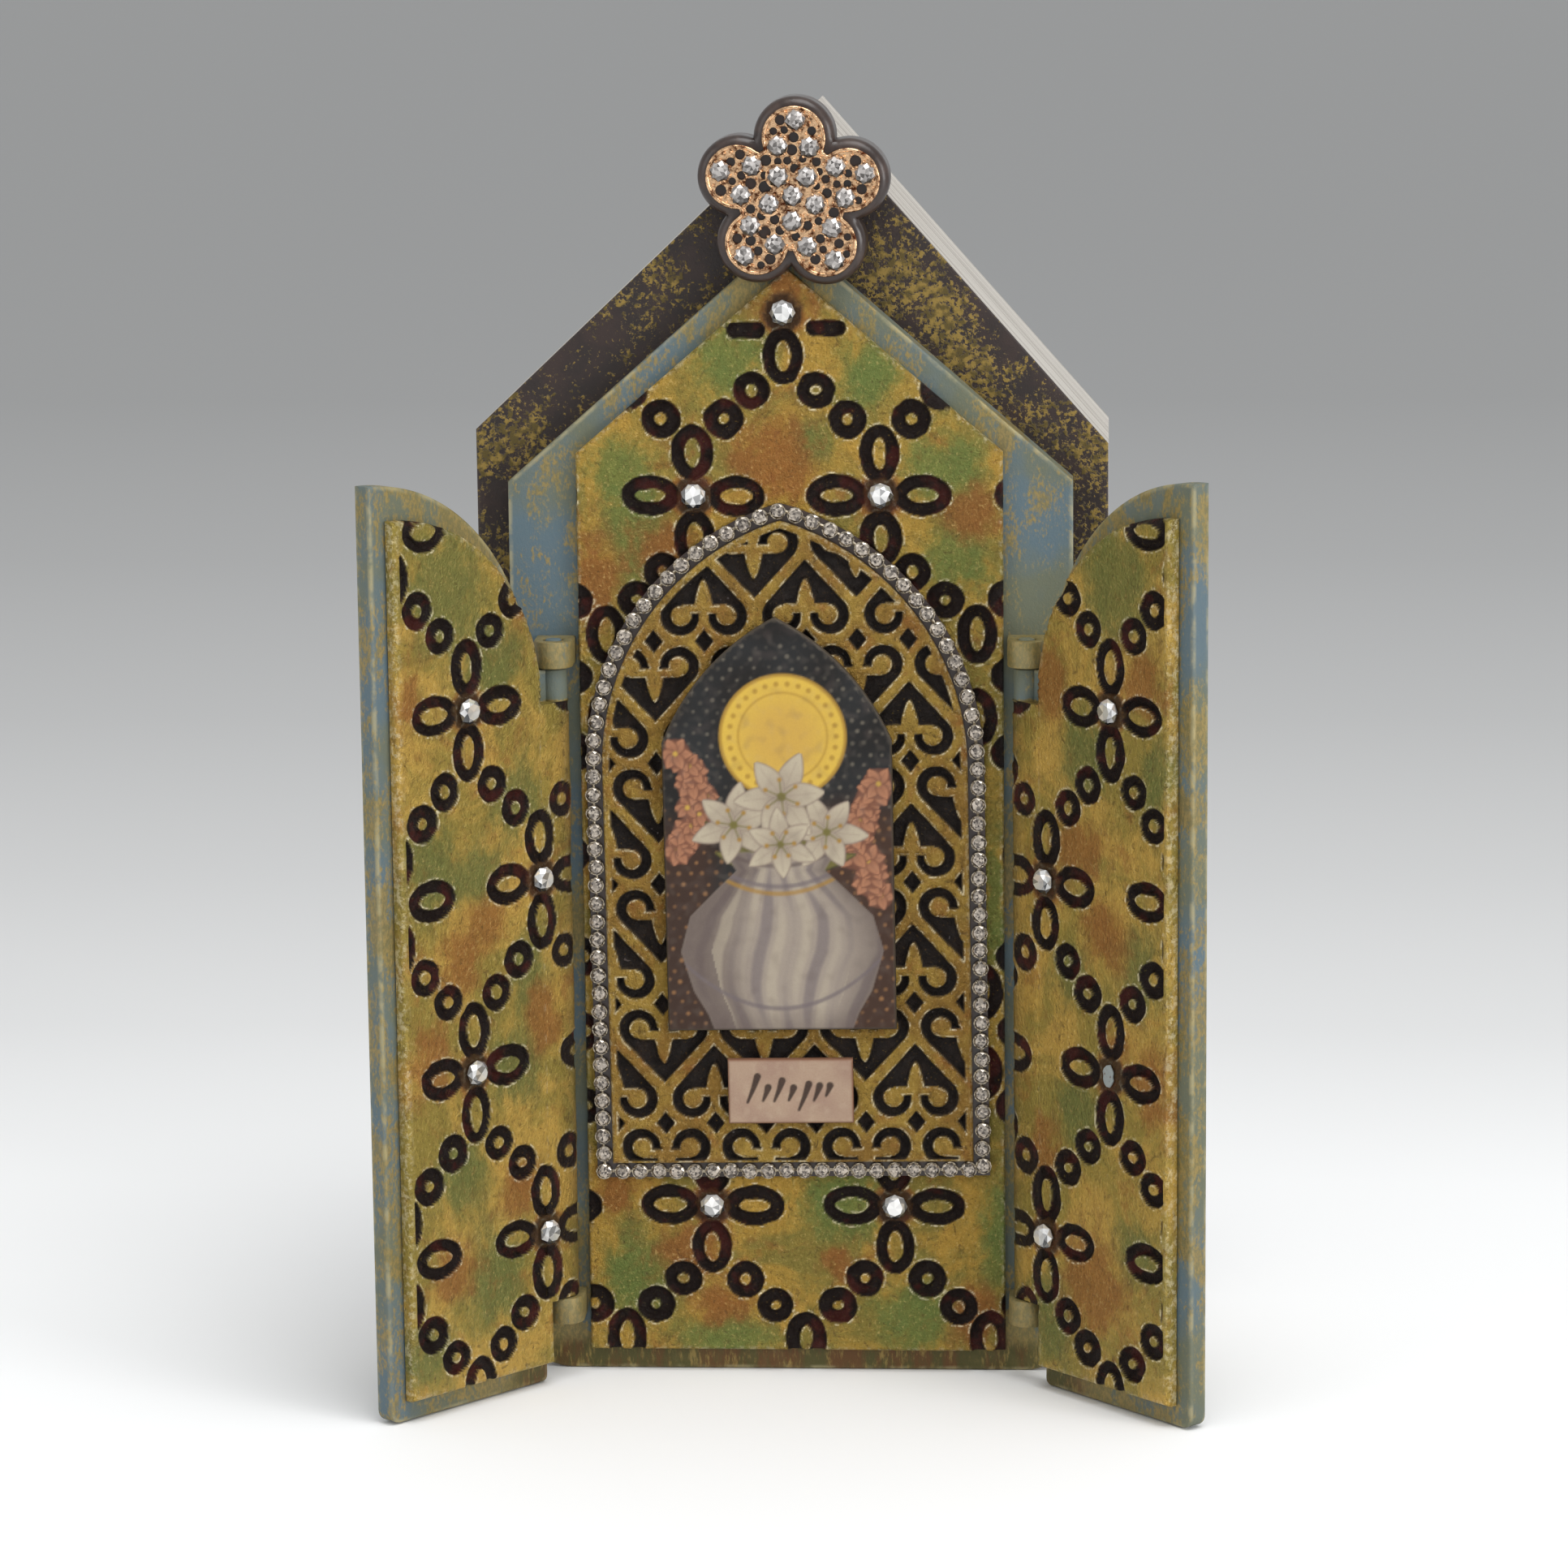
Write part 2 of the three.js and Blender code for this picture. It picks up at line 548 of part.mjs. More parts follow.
const altarpiece = new THREE.Group();
altarpiece.add(part('back_block', backBlock(), MATERIALS.speckledBrown));
altarpiece.add(part(
  'centre_board', plate(boardShape(), BLOCK_FRONT, BOARD.thickness, { softEdge: SOFT_EDGE, curveSegments: 4 }),
  MATERIALS.dustyBlue));
altarpiece.add(part('centre_panel', centrePanel(), MATERIALS.gilt));
altarpiece.add(part('brooch_base', broochBase(), MATERIALS.darkResin));
altarpiece.add(part('brooch_face', broochFace(), MATERIALS.roseGold));

// The plaque and everything on it lean a little to the left of plumb.
const leaning = new THREE.Group();
leaning.position.set(PLAQUE.centreX, PANEL_FRONT, PLAQUE.bottom);
leaning.rotation.y = -THREE.MathUtils.degToRad(STACK_LEAN);
const stack = new THREE.Group();
stack.position.z = -PLAQUE.bottom;
stack.add(part('arch_plaque', archPlaque(), MATERIALS.brightGilt));
stack.add(part('stone_chain', stoneChain(), MATERIALS.crystal));
stack.add(part('picture_tile', pictureTile(), MATERIALS.picture, [0, -PLAQUE.thickness, 0]));
stack.add(part('word_tile', wordTile(), MATERIALS.pinkPaper, [0, -PLAQUE.thickness, 0]));
leaning.add(stack);
altarpiece.add(leaning);

const { halfPitchX, halfPitchZ } = FLOWER;
const leanShift = (rows) => -rows * halfPitchZ * Math.tan(THREE.MathUtils.degToRad(PANEL_FLOWERS.lean));
for (const [name, columns, rows] of [
  ['crystal_centre_top', 0, 2],
  ['crystal_centre_upper_left', -1, 1],
  ['crystal_centre_upper_right', 1, 1],
  ['crystal_centre_lower_left', -1, -3],
  ['crystal_centre_lower_right', 1, -3],
]) {
  const x = PANEL_FLOWERS.x + columns * halfPitchX + leanShift(rows);
  altarpiece.add(part(name, crystal(), MATERIALS.crystal, [x, PANEL_FRONT, PANEL_FLOWERS.z + rows * halfPitchZ]));
}

for (const [sideName, side] of [['left', -1], ['right', 1]]) {
  for (const [level, bottom] of Object.entries(EYE_BOTTOMS)) {
    const at = [side * HINGE.x, HINGE_Y, bottom];
    altarpiece.add(part(`hinge_eye_${sideName}_${level}`, hingeEye(), MATERIALS.dustyBlue, at));
  }

  const wing = new THREE.Group();
  wing.position.set(side * HINGE.x, HINGE_Y, 0);
  wing.rotation.z = -side * THREE.MathUtils.degToRad(OPEN_ANGLE[sideName]);
  wing.add(part(`${sideName}_wing_board`, wingBoard(side), MATERIALS.dustyBlue));
  wing.add(part(`${sideName}_wing_panel`, wingPanel(side, WING_FLOWERS[sideName]), MATERIALS.gilt));

  // One stone on each flower down the wing. The third on the right wing has come off its glue.
  const stoneBack = -WING.faceAhead - GLUE_GAP - WING_PANEL.thickness - GLUE_GAP;
  for (let row = 0; row < 4; row += 1) {
    const along = WING_FLOWERS[sideName] - (row % 2) * halfPitchX;
    const at = [side * along, stoneBack, WING_FLOWERS.z - row * halfPitchZ];
    const lost = sideName === 'right' && row === 2;
    wing.add(lost
      ? part('glue_patch', gluePatch(), MATERIALS.glue, at)
      : part(`crystal_${sideName}_${row + 1}`, crystal(), MATERIALS.crystal, at));
  }
  altarpiece.add(wing);
}

export default altarpiece;
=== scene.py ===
"""A tabletop triptych shrine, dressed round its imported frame.

Gilded clay reliefs lie on blue boards in front of a speckled block. A scrollwork plaque, a picture and a
small tile stand in the middle, and stones, a brooch and two hinged wings finish it. Sizes are in
millimetres in each sub-assembly's own frame: X across the face, Y into the depth, Z up.
"""

import json
import logging
import math
import random
from collections.abc import Callable, Sequence
from dataclasses import dataclass, field, replace
from enum import Enum

import bmesh
import bpy
import numpy as np
from bmesh.types import BMEdge, BMesh, BMFace, BMVert
from bpy.types import Material, NodeSocket
from mathutils import Matrix, Vector, noise


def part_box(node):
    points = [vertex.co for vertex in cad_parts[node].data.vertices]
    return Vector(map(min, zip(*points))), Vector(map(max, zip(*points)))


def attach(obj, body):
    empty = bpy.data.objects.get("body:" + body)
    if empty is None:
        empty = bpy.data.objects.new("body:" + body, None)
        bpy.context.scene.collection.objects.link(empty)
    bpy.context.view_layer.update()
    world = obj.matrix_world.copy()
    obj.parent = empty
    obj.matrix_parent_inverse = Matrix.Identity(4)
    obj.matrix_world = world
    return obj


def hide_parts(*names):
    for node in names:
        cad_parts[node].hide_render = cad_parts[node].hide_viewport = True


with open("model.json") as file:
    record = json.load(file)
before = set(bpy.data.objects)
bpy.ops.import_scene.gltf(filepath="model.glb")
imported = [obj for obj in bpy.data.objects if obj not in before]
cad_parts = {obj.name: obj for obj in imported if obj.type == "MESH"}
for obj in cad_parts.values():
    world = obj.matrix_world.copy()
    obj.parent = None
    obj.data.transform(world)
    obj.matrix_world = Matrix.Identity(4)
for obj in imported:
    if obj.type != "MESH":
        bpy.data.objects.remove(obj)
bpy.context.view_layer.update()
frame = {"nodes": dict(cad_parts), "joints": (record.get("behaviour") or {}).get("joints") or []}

log = logging.getLogger("triptych")

MM = 0.001
Points = list[tuple[float, float]]
Shade = tuple[float, float, float]


def shade(code: int) -> Shade:
    """Turns a screen colour such as 0xC0A060 into linear light.

    Args:
        code: Red, green and blue, a byte each.

    Returns:
        The three linear channels.
    """
    channels = [((code >> shift) & 255) / 255 for shift in (16, 8, 0)]
    return tuple(c / 12.92 if c <= 0.04045 else ((c + 0.055) / 1.055) ** 2.4 for c in channels)


def smooth(low: float, high: float, value: np.ndarray) -> np.ndarray:
    """Rises smoothly from 0 at low to 1 at high."""
    t = np.clip((value - low) / (high - low), 0, 1)
    return t * t * (3 - 2 * t)


def ripple(x: np.ndarray, z: np.ndarray, size: float, seed: float) -> np.ndarray:
    """Gives soft noise over a face.

    Args:
        x: Places across the face.
        z: Heights on the face.
        size: How far apart its humps lie.
        seed: Picks one pattern out of many.

    Returns:
        Values from about -1 to 1, one for each place.
    """
    return np.array([noise.noise(Vector((u / size, v / size, seed))) for u, v in zip(x, z)])


# ---------------------------------------------------------------- frames and outlines


@dataclass(frozen=True)
class Placement:
    """Where a sub-assembly's own frame lies in the model, in millimetres."""

    origin: Vector
    turn: float = 0.0
    lean: float = 0.0

    def matrix(self) -> Matrix:
        """Returns the matrix from this frame's millimetres to the model's metres."""
        turned = Matrix.Rotation(self.turn, 4, "Z") @ Matrix.Rotation(self.lean, 4, "Y")
        return Matrix.Scale(MM, 4) @ Matrix.Translation(self.origin) @ turned

    def corners(self, node: str) -> np.ndarray:
        """Returns the node's different vertices in this frame, one row each."""
        inverse = self.matrix().inverted()
        rows = {tuple(round(c, 3) for c in inverse @ v.co) for v in frame["nodes"][node].data.vertices}
        return np.array(sorted(rows))

    def box(self, node: str) -> tuple[Vector, Vector]:
        """Returns the node's lowest and highest corners in this frame."""
        corners = self.corners(node)
        return Vector(corners.min(0)), Vector(corners.max(0))

    def middle(self, node: str) -> Vector:
        """Returns the mean of the node's vertices in this frame, which is the axis of a round node."""
        return Vector(self.corners(node).mean(0))


UPRIGHT = Placement(Vector((0, 0, 0)))
FACING = Matrix.Rotation(math.radians(90), 4, "X")


def arc(centre: tuple[float, float], radii: tuple[float, float], start: float, end: float,
        steps: int) -> Points:
    """Gives points along part of an ellipse.

    Args:
        centre: The middle of the ellipse.
        radii: Its half width and half height.
        start: The first angle, in degrees from +X towards +Z.
        end: The last angle.
        steps: How many stretches the arc has.

    Returns:
        The points, both ends among them.
    """
    angles = [math.radians(start + (end - start) * i / steps) for i in range(steps + 1)]
    return [(centre[0] + radii[0] * math.cos(a), centre[1] + radii[1] * math.sin(a)) for a in angles]


@dataclass(frozen=True)
class PointedArch:
    """Straight sides up to the springing, then two arcs struck from beyond the middle line and below."""

    half_width: float
    bottom: float
    springing: float
    shift: float
    centre: float = 0.0
    drop: float = 0.0
    steps: int = 28

    def outline(self, grow: float = 0.0) -> Points:
        """Returns the arch's outline, grown all round by grow."""
        radius = math.hypot(self.half_width + self.shift, self.drop) + grow
        foot = math.degrees(math.asin(self.drop / radius))
        crown = math.degrees(math.acos(self.shift / radius))
        left, right = self.centre - self.half_width - grow, self.centre + self.half_width + grow
        low = self.springing - self.drop
        rise = arc((self.centre - self.shift, low), (radius, radius), foot, crown, self.steps)
        fall = arc((self.centre + self.shift, low), (radius, radius), 180 - crown, 180 - foot, self.steps)
        return [(left, self.bottom - grow), (right, self.bottom - grow), *rise, *fall[1:]]


def mirrored(points: Points, side: int) -> Points:
    """Returns the points for the right side, or flipped for the left one, where side is -1."""
    return points if side > 0 else [(-x, z) for x, z in reversed(points)]


def edge_distance(x: np.ndarray, z: np.ndarray, outline: Points) -> np.ndarray:
    """Measures how far each place lies from a closed outline."""
    nearest = np.full(len(x), 1e9)
    for (ax, az), (bx, bz) in zip(outline, [*outline[1:], outline[0]]):
        dx, dz = bx - ax, bz - az
        along = np.clip(((x - ax) * dx + (z - az) * dz) / max(dx * dx + dz * dz, 1e-9), 0, 1)
        nearest = np.minimum(nearest, np.hypot(x - ax - along * dx, z - az - along * dz))
    return nearest


def spaced(outline: Points, pitch: float) -> list[tuple[float, float, float]]:
    """Walks round a closed outline in even steps.

    Args:
        outline: The corners of the way.
        pitch: The wished step, which is made to fit the whole length.

    Returns:
        The place and the direction of the way, in radians, at each step.
    """
    legs = [(a, b) for a, b in zip(outline, [*outline[1:], outline[0]]) if math.dist(a, b) > 1e-6]
    total = sum(math.dist(a, b) for a, b in legs)
    count = round(total / pitch)
    stops, walked, step = [], 0.0, 0
    for (ax, az), (bx, bz) in legs:
        length = math.dist((ax, az), (bx, bz))
        while step < count and step * total / count < walked + length:
            t = (step * total / count - walked) / length
            stops.append((ax + (bx - ax) * t, az + (bz - az) * t, math.atan2(bz - az, bx - ax)))
            step += 1
        walked += length
    return stops


# ---------------------------------------------------------------- finishes


class Graph:
    """A material's node graph, with short ways to add its nodes."""

    def __init__(self, name: str) -> None:
        """Starts a material with a Principled shader."""
        self.material = bpy.data.materials.new(name)
        self.material.use_nodes = True
        self.tree = self.material.node_tree
        self.shader = self.tree.nodes["Principled BSDF"]
        self.where = self.tree.nodes.new("ShaderNodeTexCoord").outputs["Object"]

    def put(self, socket: NodeSocket, value: object) -> None:
        """Links a socket to an output, or sets its value."""
        if isinstance(value, NodeSocket):
            self.tree.links.new(value, socket)
        elif socket.type == "RGBA":
            socket.default_value = (*value, 1)
        else:
            socket.default_value = value

    def set(self, **values: object) -> None:
        """Sets the shader's inputs by their names, with _ for a space."""
        for name, value in values.items():
            self.put(self.shader.inputs[name.replace("_", " ")], value)

    def attribute(self, name: str, colour: bool = False) -> NodeSocket:
        """Returns a mesh attribute's value, or its colour."""
        node = self.tree.nodes.new("ShaderNodeAttribute")
        node.attribute_name = name
        return node.outputs["Color" if colour else "Fac"]

    def noise(self, size: float, stretch: Shade = (1, 1, 1), detail: float = 3, rough: float = 0.55,
              warp: float = 0.0) -> NodeSocket:
        """Returns noise on the object's coordinates.

        Args:
            size: The millimetres from one hump to the next.
            stretch: How many times longer the humps are along X, Y and Z.
            detail: How many finer layers it has.
            rough: How strong the finer layers are.
            warp: How far the pattern is bent.

        Returns:
            The noise, from 0 to 1.
        """
        mapping = self.tree.nodes.new("ShaderNodeMapping")
        mapping.inputs["Scale"].default_value = [1 / (size * MM * s) for s in stretch]
        self.put(mapping.inputs["Vector"], self.where)
        node = self.tree.nodes.new("ShaderNodeTexNoise")
        for name, value in (("Scale", 1), ("Detail", detail), ("Roughness", rough), ("Distortion", warp)):
            node.inputs[name].default_value = value
        self.put(node.inputs["Vector"], mapping.outputs["Vector"])
        return node.outputs["Fac"]

    def level(self, value: NodeSocket, low: float, high: float, start: float = 0,
              end: float = 1) -> NodeSocket:
        """Returns a value spread smoothly from low..high to start..end."""
        node = self.tree.nodes.new("ShaderNodeMapRange")
        node.interpolation_type = "SMOOTHSTEP"
        names = ("Value", "From Min", "From Max", "To Min", "To Max")
        for name, setting in zip(names, (value, low, high, start, end)):
            self.put(node.inputs[name], setting)
        return node.outputs["Result"]

    def maths(self, kind: str, a: object, b: object = 0.0) -> NodeSocket:
        """Returns a Math node's result."""
        node = self.tree.nodes.new("ShaderNodeMath")
        node.operation = kind
        self.put(node.inputs[0], a)
        self.put(node.inputs[1], b)
        return node.outputs[0]

    def ramp(self, value: NodeSocket, stops: Sequence[tuple[float, float]]) -> NodeSocket:
        """Returns a grey that follows stops of (value, lightness)."""
        first, last = stops[0][0], stops[-1][0]
        node = self.tree.nodes.new("ShaderNodeValToRGB")
        for at, _ in stops[1:-1]:
            node.color_ramp.elements.new((at - first) / (last - first))
        for element, (_, light) in zip(node.color_ramp.elements, stops):
            element.color = (light, light, light, 1)
        along = self.maths("SUBTRACT", value, first)
        self.put(node.inputs["Fac"], self.maths("DIVIDE", along, last - first))
        return node.outputs["Color"]

    def mix(self, cover: object, under: object, over: object) -> NodeSocket:
        """Returns one colour laid over another."""
        node = self.tree.nodes.new("ShaderNodeMix")
        node.data_type = "RGBA"
        for index, value in ((0, cover), (6, under), (7, over)):
            self.put(node.inputs[index], value)
        return node.outputs[2]

    def bump(self, height: NodeSocket, depth: float) -> None:
        """Roughens the surface by a height, whose full range is depth millimetres."""
        node = self.tree.nodes.new("ShaderNodeBump")
        node.inputs["Distance"].default_value = depth * MM
        self.put(node.inputs["Height"], height)
        self.put(self.shader.inputs["Normal"], node.outputs["Normal"])


@dataclass(frozen=True)
class Finish:
    """A finish made of procedural nodes."""

    name: str

    def material(self) -> Material:
        """Returns the finish as a material."""
        g = Graph(self.name)
        self.lay(g)
        return g.material

    def lay(self, g: Graph) -> None:
        """Wires up the finish."""
        raise NotImplementedError


@dataclass(frozen=True)
class GildedClay(Finish):
    """Gilded clay, rubbed with green and orange-brown and glazed dark in its grooves, with painted glints
    on its groove lips and edges, and painted shade where it turns round a knuckle.
    """

    gold: Shade = shade(0xB08C3A)
    olive: Shade = shade(0x847634)
    green: Shade = shade(0x5E7438)
    umber: Shade = shade(0x8C5424)
    pale: Shade = shade(0xDCBE78)
    # Pale tone of the painted glints on lips and edges, partly rubbed bare gold.
    glint_and_rubbed_gold: Shade = shade(0xF4E8C4)
    dirt: Shade = shade(0x4C3618)
    # Dark glaze of the grooves, also laid as painted shade round the knuckles.
    glaze_and_shade: Shade = shade(0x190E0A)
    wine: Shade = shade(0x3E1610)
    streak: float = 1.2
    metal: float = 0.55

    def lay(self, g: Graph) -> None:
        """Wires up the finish, which reads the recess, lip, edge, green and umber attributes; recess holds
        the grooves and some painted shade.
        """
        cloud = g.noise(20, (1, 1, self.streak**0.5), detail=6, rough=0.65, warp=0.6)
        patch = g.noise(5, (1, 1, self.streak), detail=6, rough=0.72, warp=0.3)
        grain = g.noise(0.8, (1, 1, self.streak), detail=4, rough=0.72)
        creases = g.noise(2.4, (1, 1, self.streak), detail=6, rough=0.75, warp=1.2)
        colour = g.mix(g.level(cloud, 0.4, 0.6), self.gold, self.olive)
        rubs = g.noise(9, detail=6, rough=0.7, warp=0.4)
        colour = g.mix(g.level(rubs, 0.52, 0.7, 0, 0.6), colour, self.umber)
        spots = g.noise(3.4, detail=5, rough=0.7, warp=0.8)
        colour = g.mix(g.level(spots, 0.3, 0.42, 0.6, 0), colour, self.dirt)
        for name, tone in (("green", self.green), ("umber", self.umber)):
            ragged = g.maths("ADD", g.attribute(name), g.maths("MULTIPLY", patch, 1.9))
            colour = g.mix(g.level(ragged, 1.0, 1.75, 0, 0.8), colour, tone)
        colour = g.mix(g.level(creases, 0.28, 0.44, 0.75, 0), colour, self.dirt)
        colour = g.mix(g.level(grain, 0.54, 0.74, 0, 0.5), colour, self.pale)
        colour = g.mix(g.level(grain, 0.28, 0.46, 0.6, 0), colour, self.dirt)
        flecks = g.noise(1.8, detail=4, rough=0.75)
        # Painted highlight: pale glints on the groove lips and the rolled edges, partly also rubbed gold.
        worn = g.maths("MAXIMUM", g.attribute("lip"), g.maths("MULTIPLY", g.attribute("edge"), 0.45))
        glint_and_rub = g.maths("MULTIPLY", worn, g.level(flecks, 0.47, 0.62, 0, 0.9))
        colour = g.mix(glint_and_rub, colour, self.glint_and_rubbed_gold)
        # The grooves' dark glaze, and painted shade where the clay turns round a knuckle.
        recess = g.attribute("recess")
        rubbed = g.level(g.noise(0.7, detail=4, rough=0.75), 0.6, 0.7, 0, 0.35)
        dark = g.maths("MULTIPLY", recess, g.maths("SUBTRACT", 1.0, rubbed))
        glaze_and_shade = g.mix(g.level(g.noise(7, detail=3), 0.5, 0.66), self.glaze_and_shade, self.wine)
        colour = g.mix(dark, colour, glaze_and_shade)
        g.set(Base_Color=colour, Metallic=g.level(dark, 0.2, 0.7, self.metal, 0))
        g.set(Roughness=g.level(g.noise(1.4), 0.3, 0.7, 0.28, 0.5))
        g.set(Specular_IOR_Level=g.level(recess, 0, 1, 0.5, 0.22))
        relief = g.maths("ADD", g.maths("MULTIPLY", creases, 1.6), grain)
        g.bump(g.maths("ADD", g.maths("MULTIPLY", g.noise(0.45, detail=2), 0.5), relief), 0.5)


@dataclass(frozen=True)
class SpongedPaint(Finish):
    """Dusty chalk paint under a haze of ochre and gold, with gold run over it in places."""

    blue: Shade = shade(0x506570)
    grey: Shade = shade(0x5E6454)
    ochre: Shade = shade(0x766A3C)
    gold: Shade = shade(0x947E44)
    olive: Shade = shade(0x4C4820)
    umber: Shade = shade(0x5E3E1C)
    worn: Shade = shade(0xA79C74)

    def lay(self, g: Graph) -> None:
        """Wires up the finish, which reads the gilding and edge attributes."""
        colour = g.mix(g.level(g.noise(30, detail=4), 0.4, 0.62), self.blue, self.grey)
        haze = g.noise(14, (1, 1, 1.6), detail=7, rough=0.7, warp=0.4)
        fine = g.noise(0.8, (1, 1, 1.8), detail=4, rough=0.7)
        laid = g.maths("ADD", haze, g.maths("MULTIPLY", fine, 0.42))
        laid = g.maths("ADD", laid, g.maths("MULTIPLY", g.attribute("gilding"), 0.5))
        cover = g.level(laid, 0.675, 0.79, 0.06, 0.85)
        colour = g.mix(cover, colour, g.mix(g.level(fine, 0.42, 0.62), self.ochre, self.gold))
        runs = g.noise(7, (1, 1, 4), detail=5, rough=0.7)
        patina = g.mix(g.level(runs, 0.42, 0.6), self.olive, self.umber)
        threads = g.noise(1.2, (1, 1, 4), detail=4, rough=0.7)
        patina = g.mix(g.level(threads, 0.5, 0.7, 0, 0.8), patina, self.gold)
        spill = g.level(g.maths("ADD", g.attribute("gilding"), g.maths("MULTIPLY", haze, 0.4)), 0.5, 0.72)
        colour = g.mix(spill, colour, patina)
        rub = g.maths("MULTIPLY", g.attribute("edge"), g.level(g.noise(5, detail=5), 0.42, 0.62, 0.08, 0.6))
        colour = g.mix(rub, colour, self.worn)
        laid_gold = g.maths("MAXIMUM", cover, spill)
        g.set(Base_Color=colour, Metallic=g.level(laid_gold, 0.3, 0.9, 0, 0.3))
        g.set(Roughness=g.level(laid_gold, 0, 0.9, 0.75, 0.5))
        g.bump(g.maths("ADD", fine, g.maths("MULTIPLY", g.noise(0.4, detail=2), 0.5)), 0.14)


@dataclass(frozen=True)
class SpeckledPaint(Finish):
    """Dark brown paint under clusters of stippled gold."""

    brown: Shade = shade(0x2B1B16)
    deep: Shade = shade(0x1E120F)
    gold: Shade = shade(0x92793A)
    olive: Shade = shade(0x5A4C22)

    def lay(self, g: Graph) -> None:
        """Wires up the finish."""
        colour = g.mix(g.level(g.noise(7), 0.35, 0.65), self.brown, self.deep)
        cluster = g.noise(17, detail=5, rough=0.65, warp=0.4)
        dots = g.noise(0.95, detail=3, rough=0.6)
        laid = g.maths("ADD", cluster, dots)
        cover = g.level(laid, 1.0, 1.12, 0, 0.9)
        colour = g.mix(cover, colour, g.mix(g.level(g.noise(2.2), 0.4, 0.6), self.olive, self.gold))
        g.set(Base_Color=colour, Metallic=g.level(cover, 0.4, 0.9, 0, 0.4), Roughness=0.52)
        g.bump(g.maths("ADD", cover, g.noise(0.7)), 0.1)


@dataclass(frozen=True)
class PageEdges(Finish):
    """The pale edges of many thin sheets that lie one behind another."""

    paper: Shade = shade(0xBDB8B0)
    shadow: Shade = shade(0x7C736B)

    def lay(self, g: Graph) -> None:
        """Wires up the finish, with its lines along the sheets."""
        sheets = g.noise(0.55, (160, 1, 160), detail=4, rough=0.7)
        broad = g.noise(5, (30, 1, 30), detail=3)
        lines = g.maths("ADD", g.maths("MULTIPLY", sheets, 0.6), g.maths("MULTIPLY", broad, 0.5))
        g.set(Base_Color=g.mix(g.level(lines, 0.38, 0.62), self.shadow, self.paper), Roughness=0.8)
        g.bump(sheets, 0.35)


@dataclass(frozen=True)
class Metal(Finish):
    """Plated metal with fine scratches."""

    bright: Shade
    dull: Shade
    roughness: float = 0.28
    size: float = 1.2

    def lay(self, g: Graph) -> None:
        """Wires up the finish."""
        tarnish = g.noise(self.size, detail=4, rough=0.65)
        g.set(Base_Color=g.mix(g.level(tarnish, 0.42, 0.66), self.bright, self.dull), Metallic=1.0)
        g.set(Roughness=g.level(tarnish, 0.3, 0.7, self.roughness, self.roughness + 0.18))
        g.bump(g.noise(0.7, detail=3), 0.1)


@dataclass(frozen=True)
class CutStone(Finish):
    """Clear stone on silver foil: flat facets with painted light and reflections, under a glassy coat."""

    # Tones of the lit and the shaded facets.
    light: Shade = shade(0xFBFAF8)
    dark: Shade = shade(0x3A3C3F)

    def lay(self, g: Graph) -> None:
        """Wires up the finish, whose facets take their painted light from the facet attribute."""
        g.set(Base_Color=g.mix(g.attribute("facet"), self.dark, self.light), Metallic=0.6)
        g.set(Roughness=g.level(g.noise(2), 0.2, 0.8, 0.05, 0.14))
        g.set(Coat_Weight=1.0, Coat_Roughness=0.02)


@dataclass(frozen=True)
class GlossyResin(Finish):
    """Dark poured resin with a soft, slightly uneven gloss."""

    body: Shade = shade(0x2C1F1A)
    streaked: Shade = shade(0x3E2E27)

    def lay(self, g: Graph) -> None:
        """Wires up the finish."""
        swirl = g.noise(6, detail=4, warp=0.8)
        g.set(Base_Color=g.mix(g.level(swirl, 0.4, 0.7), self.body, self.streaked))
        g.set(Roughness=g.level(swirl, 0.3, 0.7, 0.3, 0.42), Coat_Weight=0.15, Coat_Roughness=0.2)
        g.bump(g.noise(2.5, detail=2), 0.08)


@dataclass(frozen=True)
class PaintedSheet(Finish):
    """A sheet whose paint is held by its mesh, under varnish or bare."""

    side: Shade
    roughness: float
    coat: float = 0.0
    fibre: float = 0.05
    mottle: float = 0.05

    def lay(self, g: Graph) -> None:
        """Wires up the finish, which reads the paint and edge attributes."""
        fibre = g.noise(0.5, detail=4, rough=0.65)
        worn = g.mix(g.level(fibre, 0.3, 0.7, 0, self.mottle), g.attribute("paint", colour=True), self.side)
        g.set(Base_Color=g.mix(g.attribute("edge"), worn, self.side))
        g.set(Roughness=g.level(fibre, 0.3, 0.7, self.roughness - 0.06, self.roughness + 0.08))
        g.set(Coat_Weight=self.coat, Coat_Roughness=0.3, Specular_IOR_Level=0.2)
        g.bump(fibre, self.fibre)


@dataclass(frozen=True)
class DriedGlue(Finish):
    """Dull glue with the torn print of a lost stone in it."""

    body: Shade = shade(0x8B9291)
    rim: Shade = shade(0x5C3A2C)

    def lay(self, g: Graph) -> None:
        """Wires up the finish."""
        torn = g.noise(1.1, detail=4, rough=0.7)
        g.set(Base_Color=g.mix(g.level(torn, 0.56, 0.68), self.body, self.rim), Roughness=0.62)
        g.bump(torn, 0.2)


# ---------------------------------------------------------------- meshes


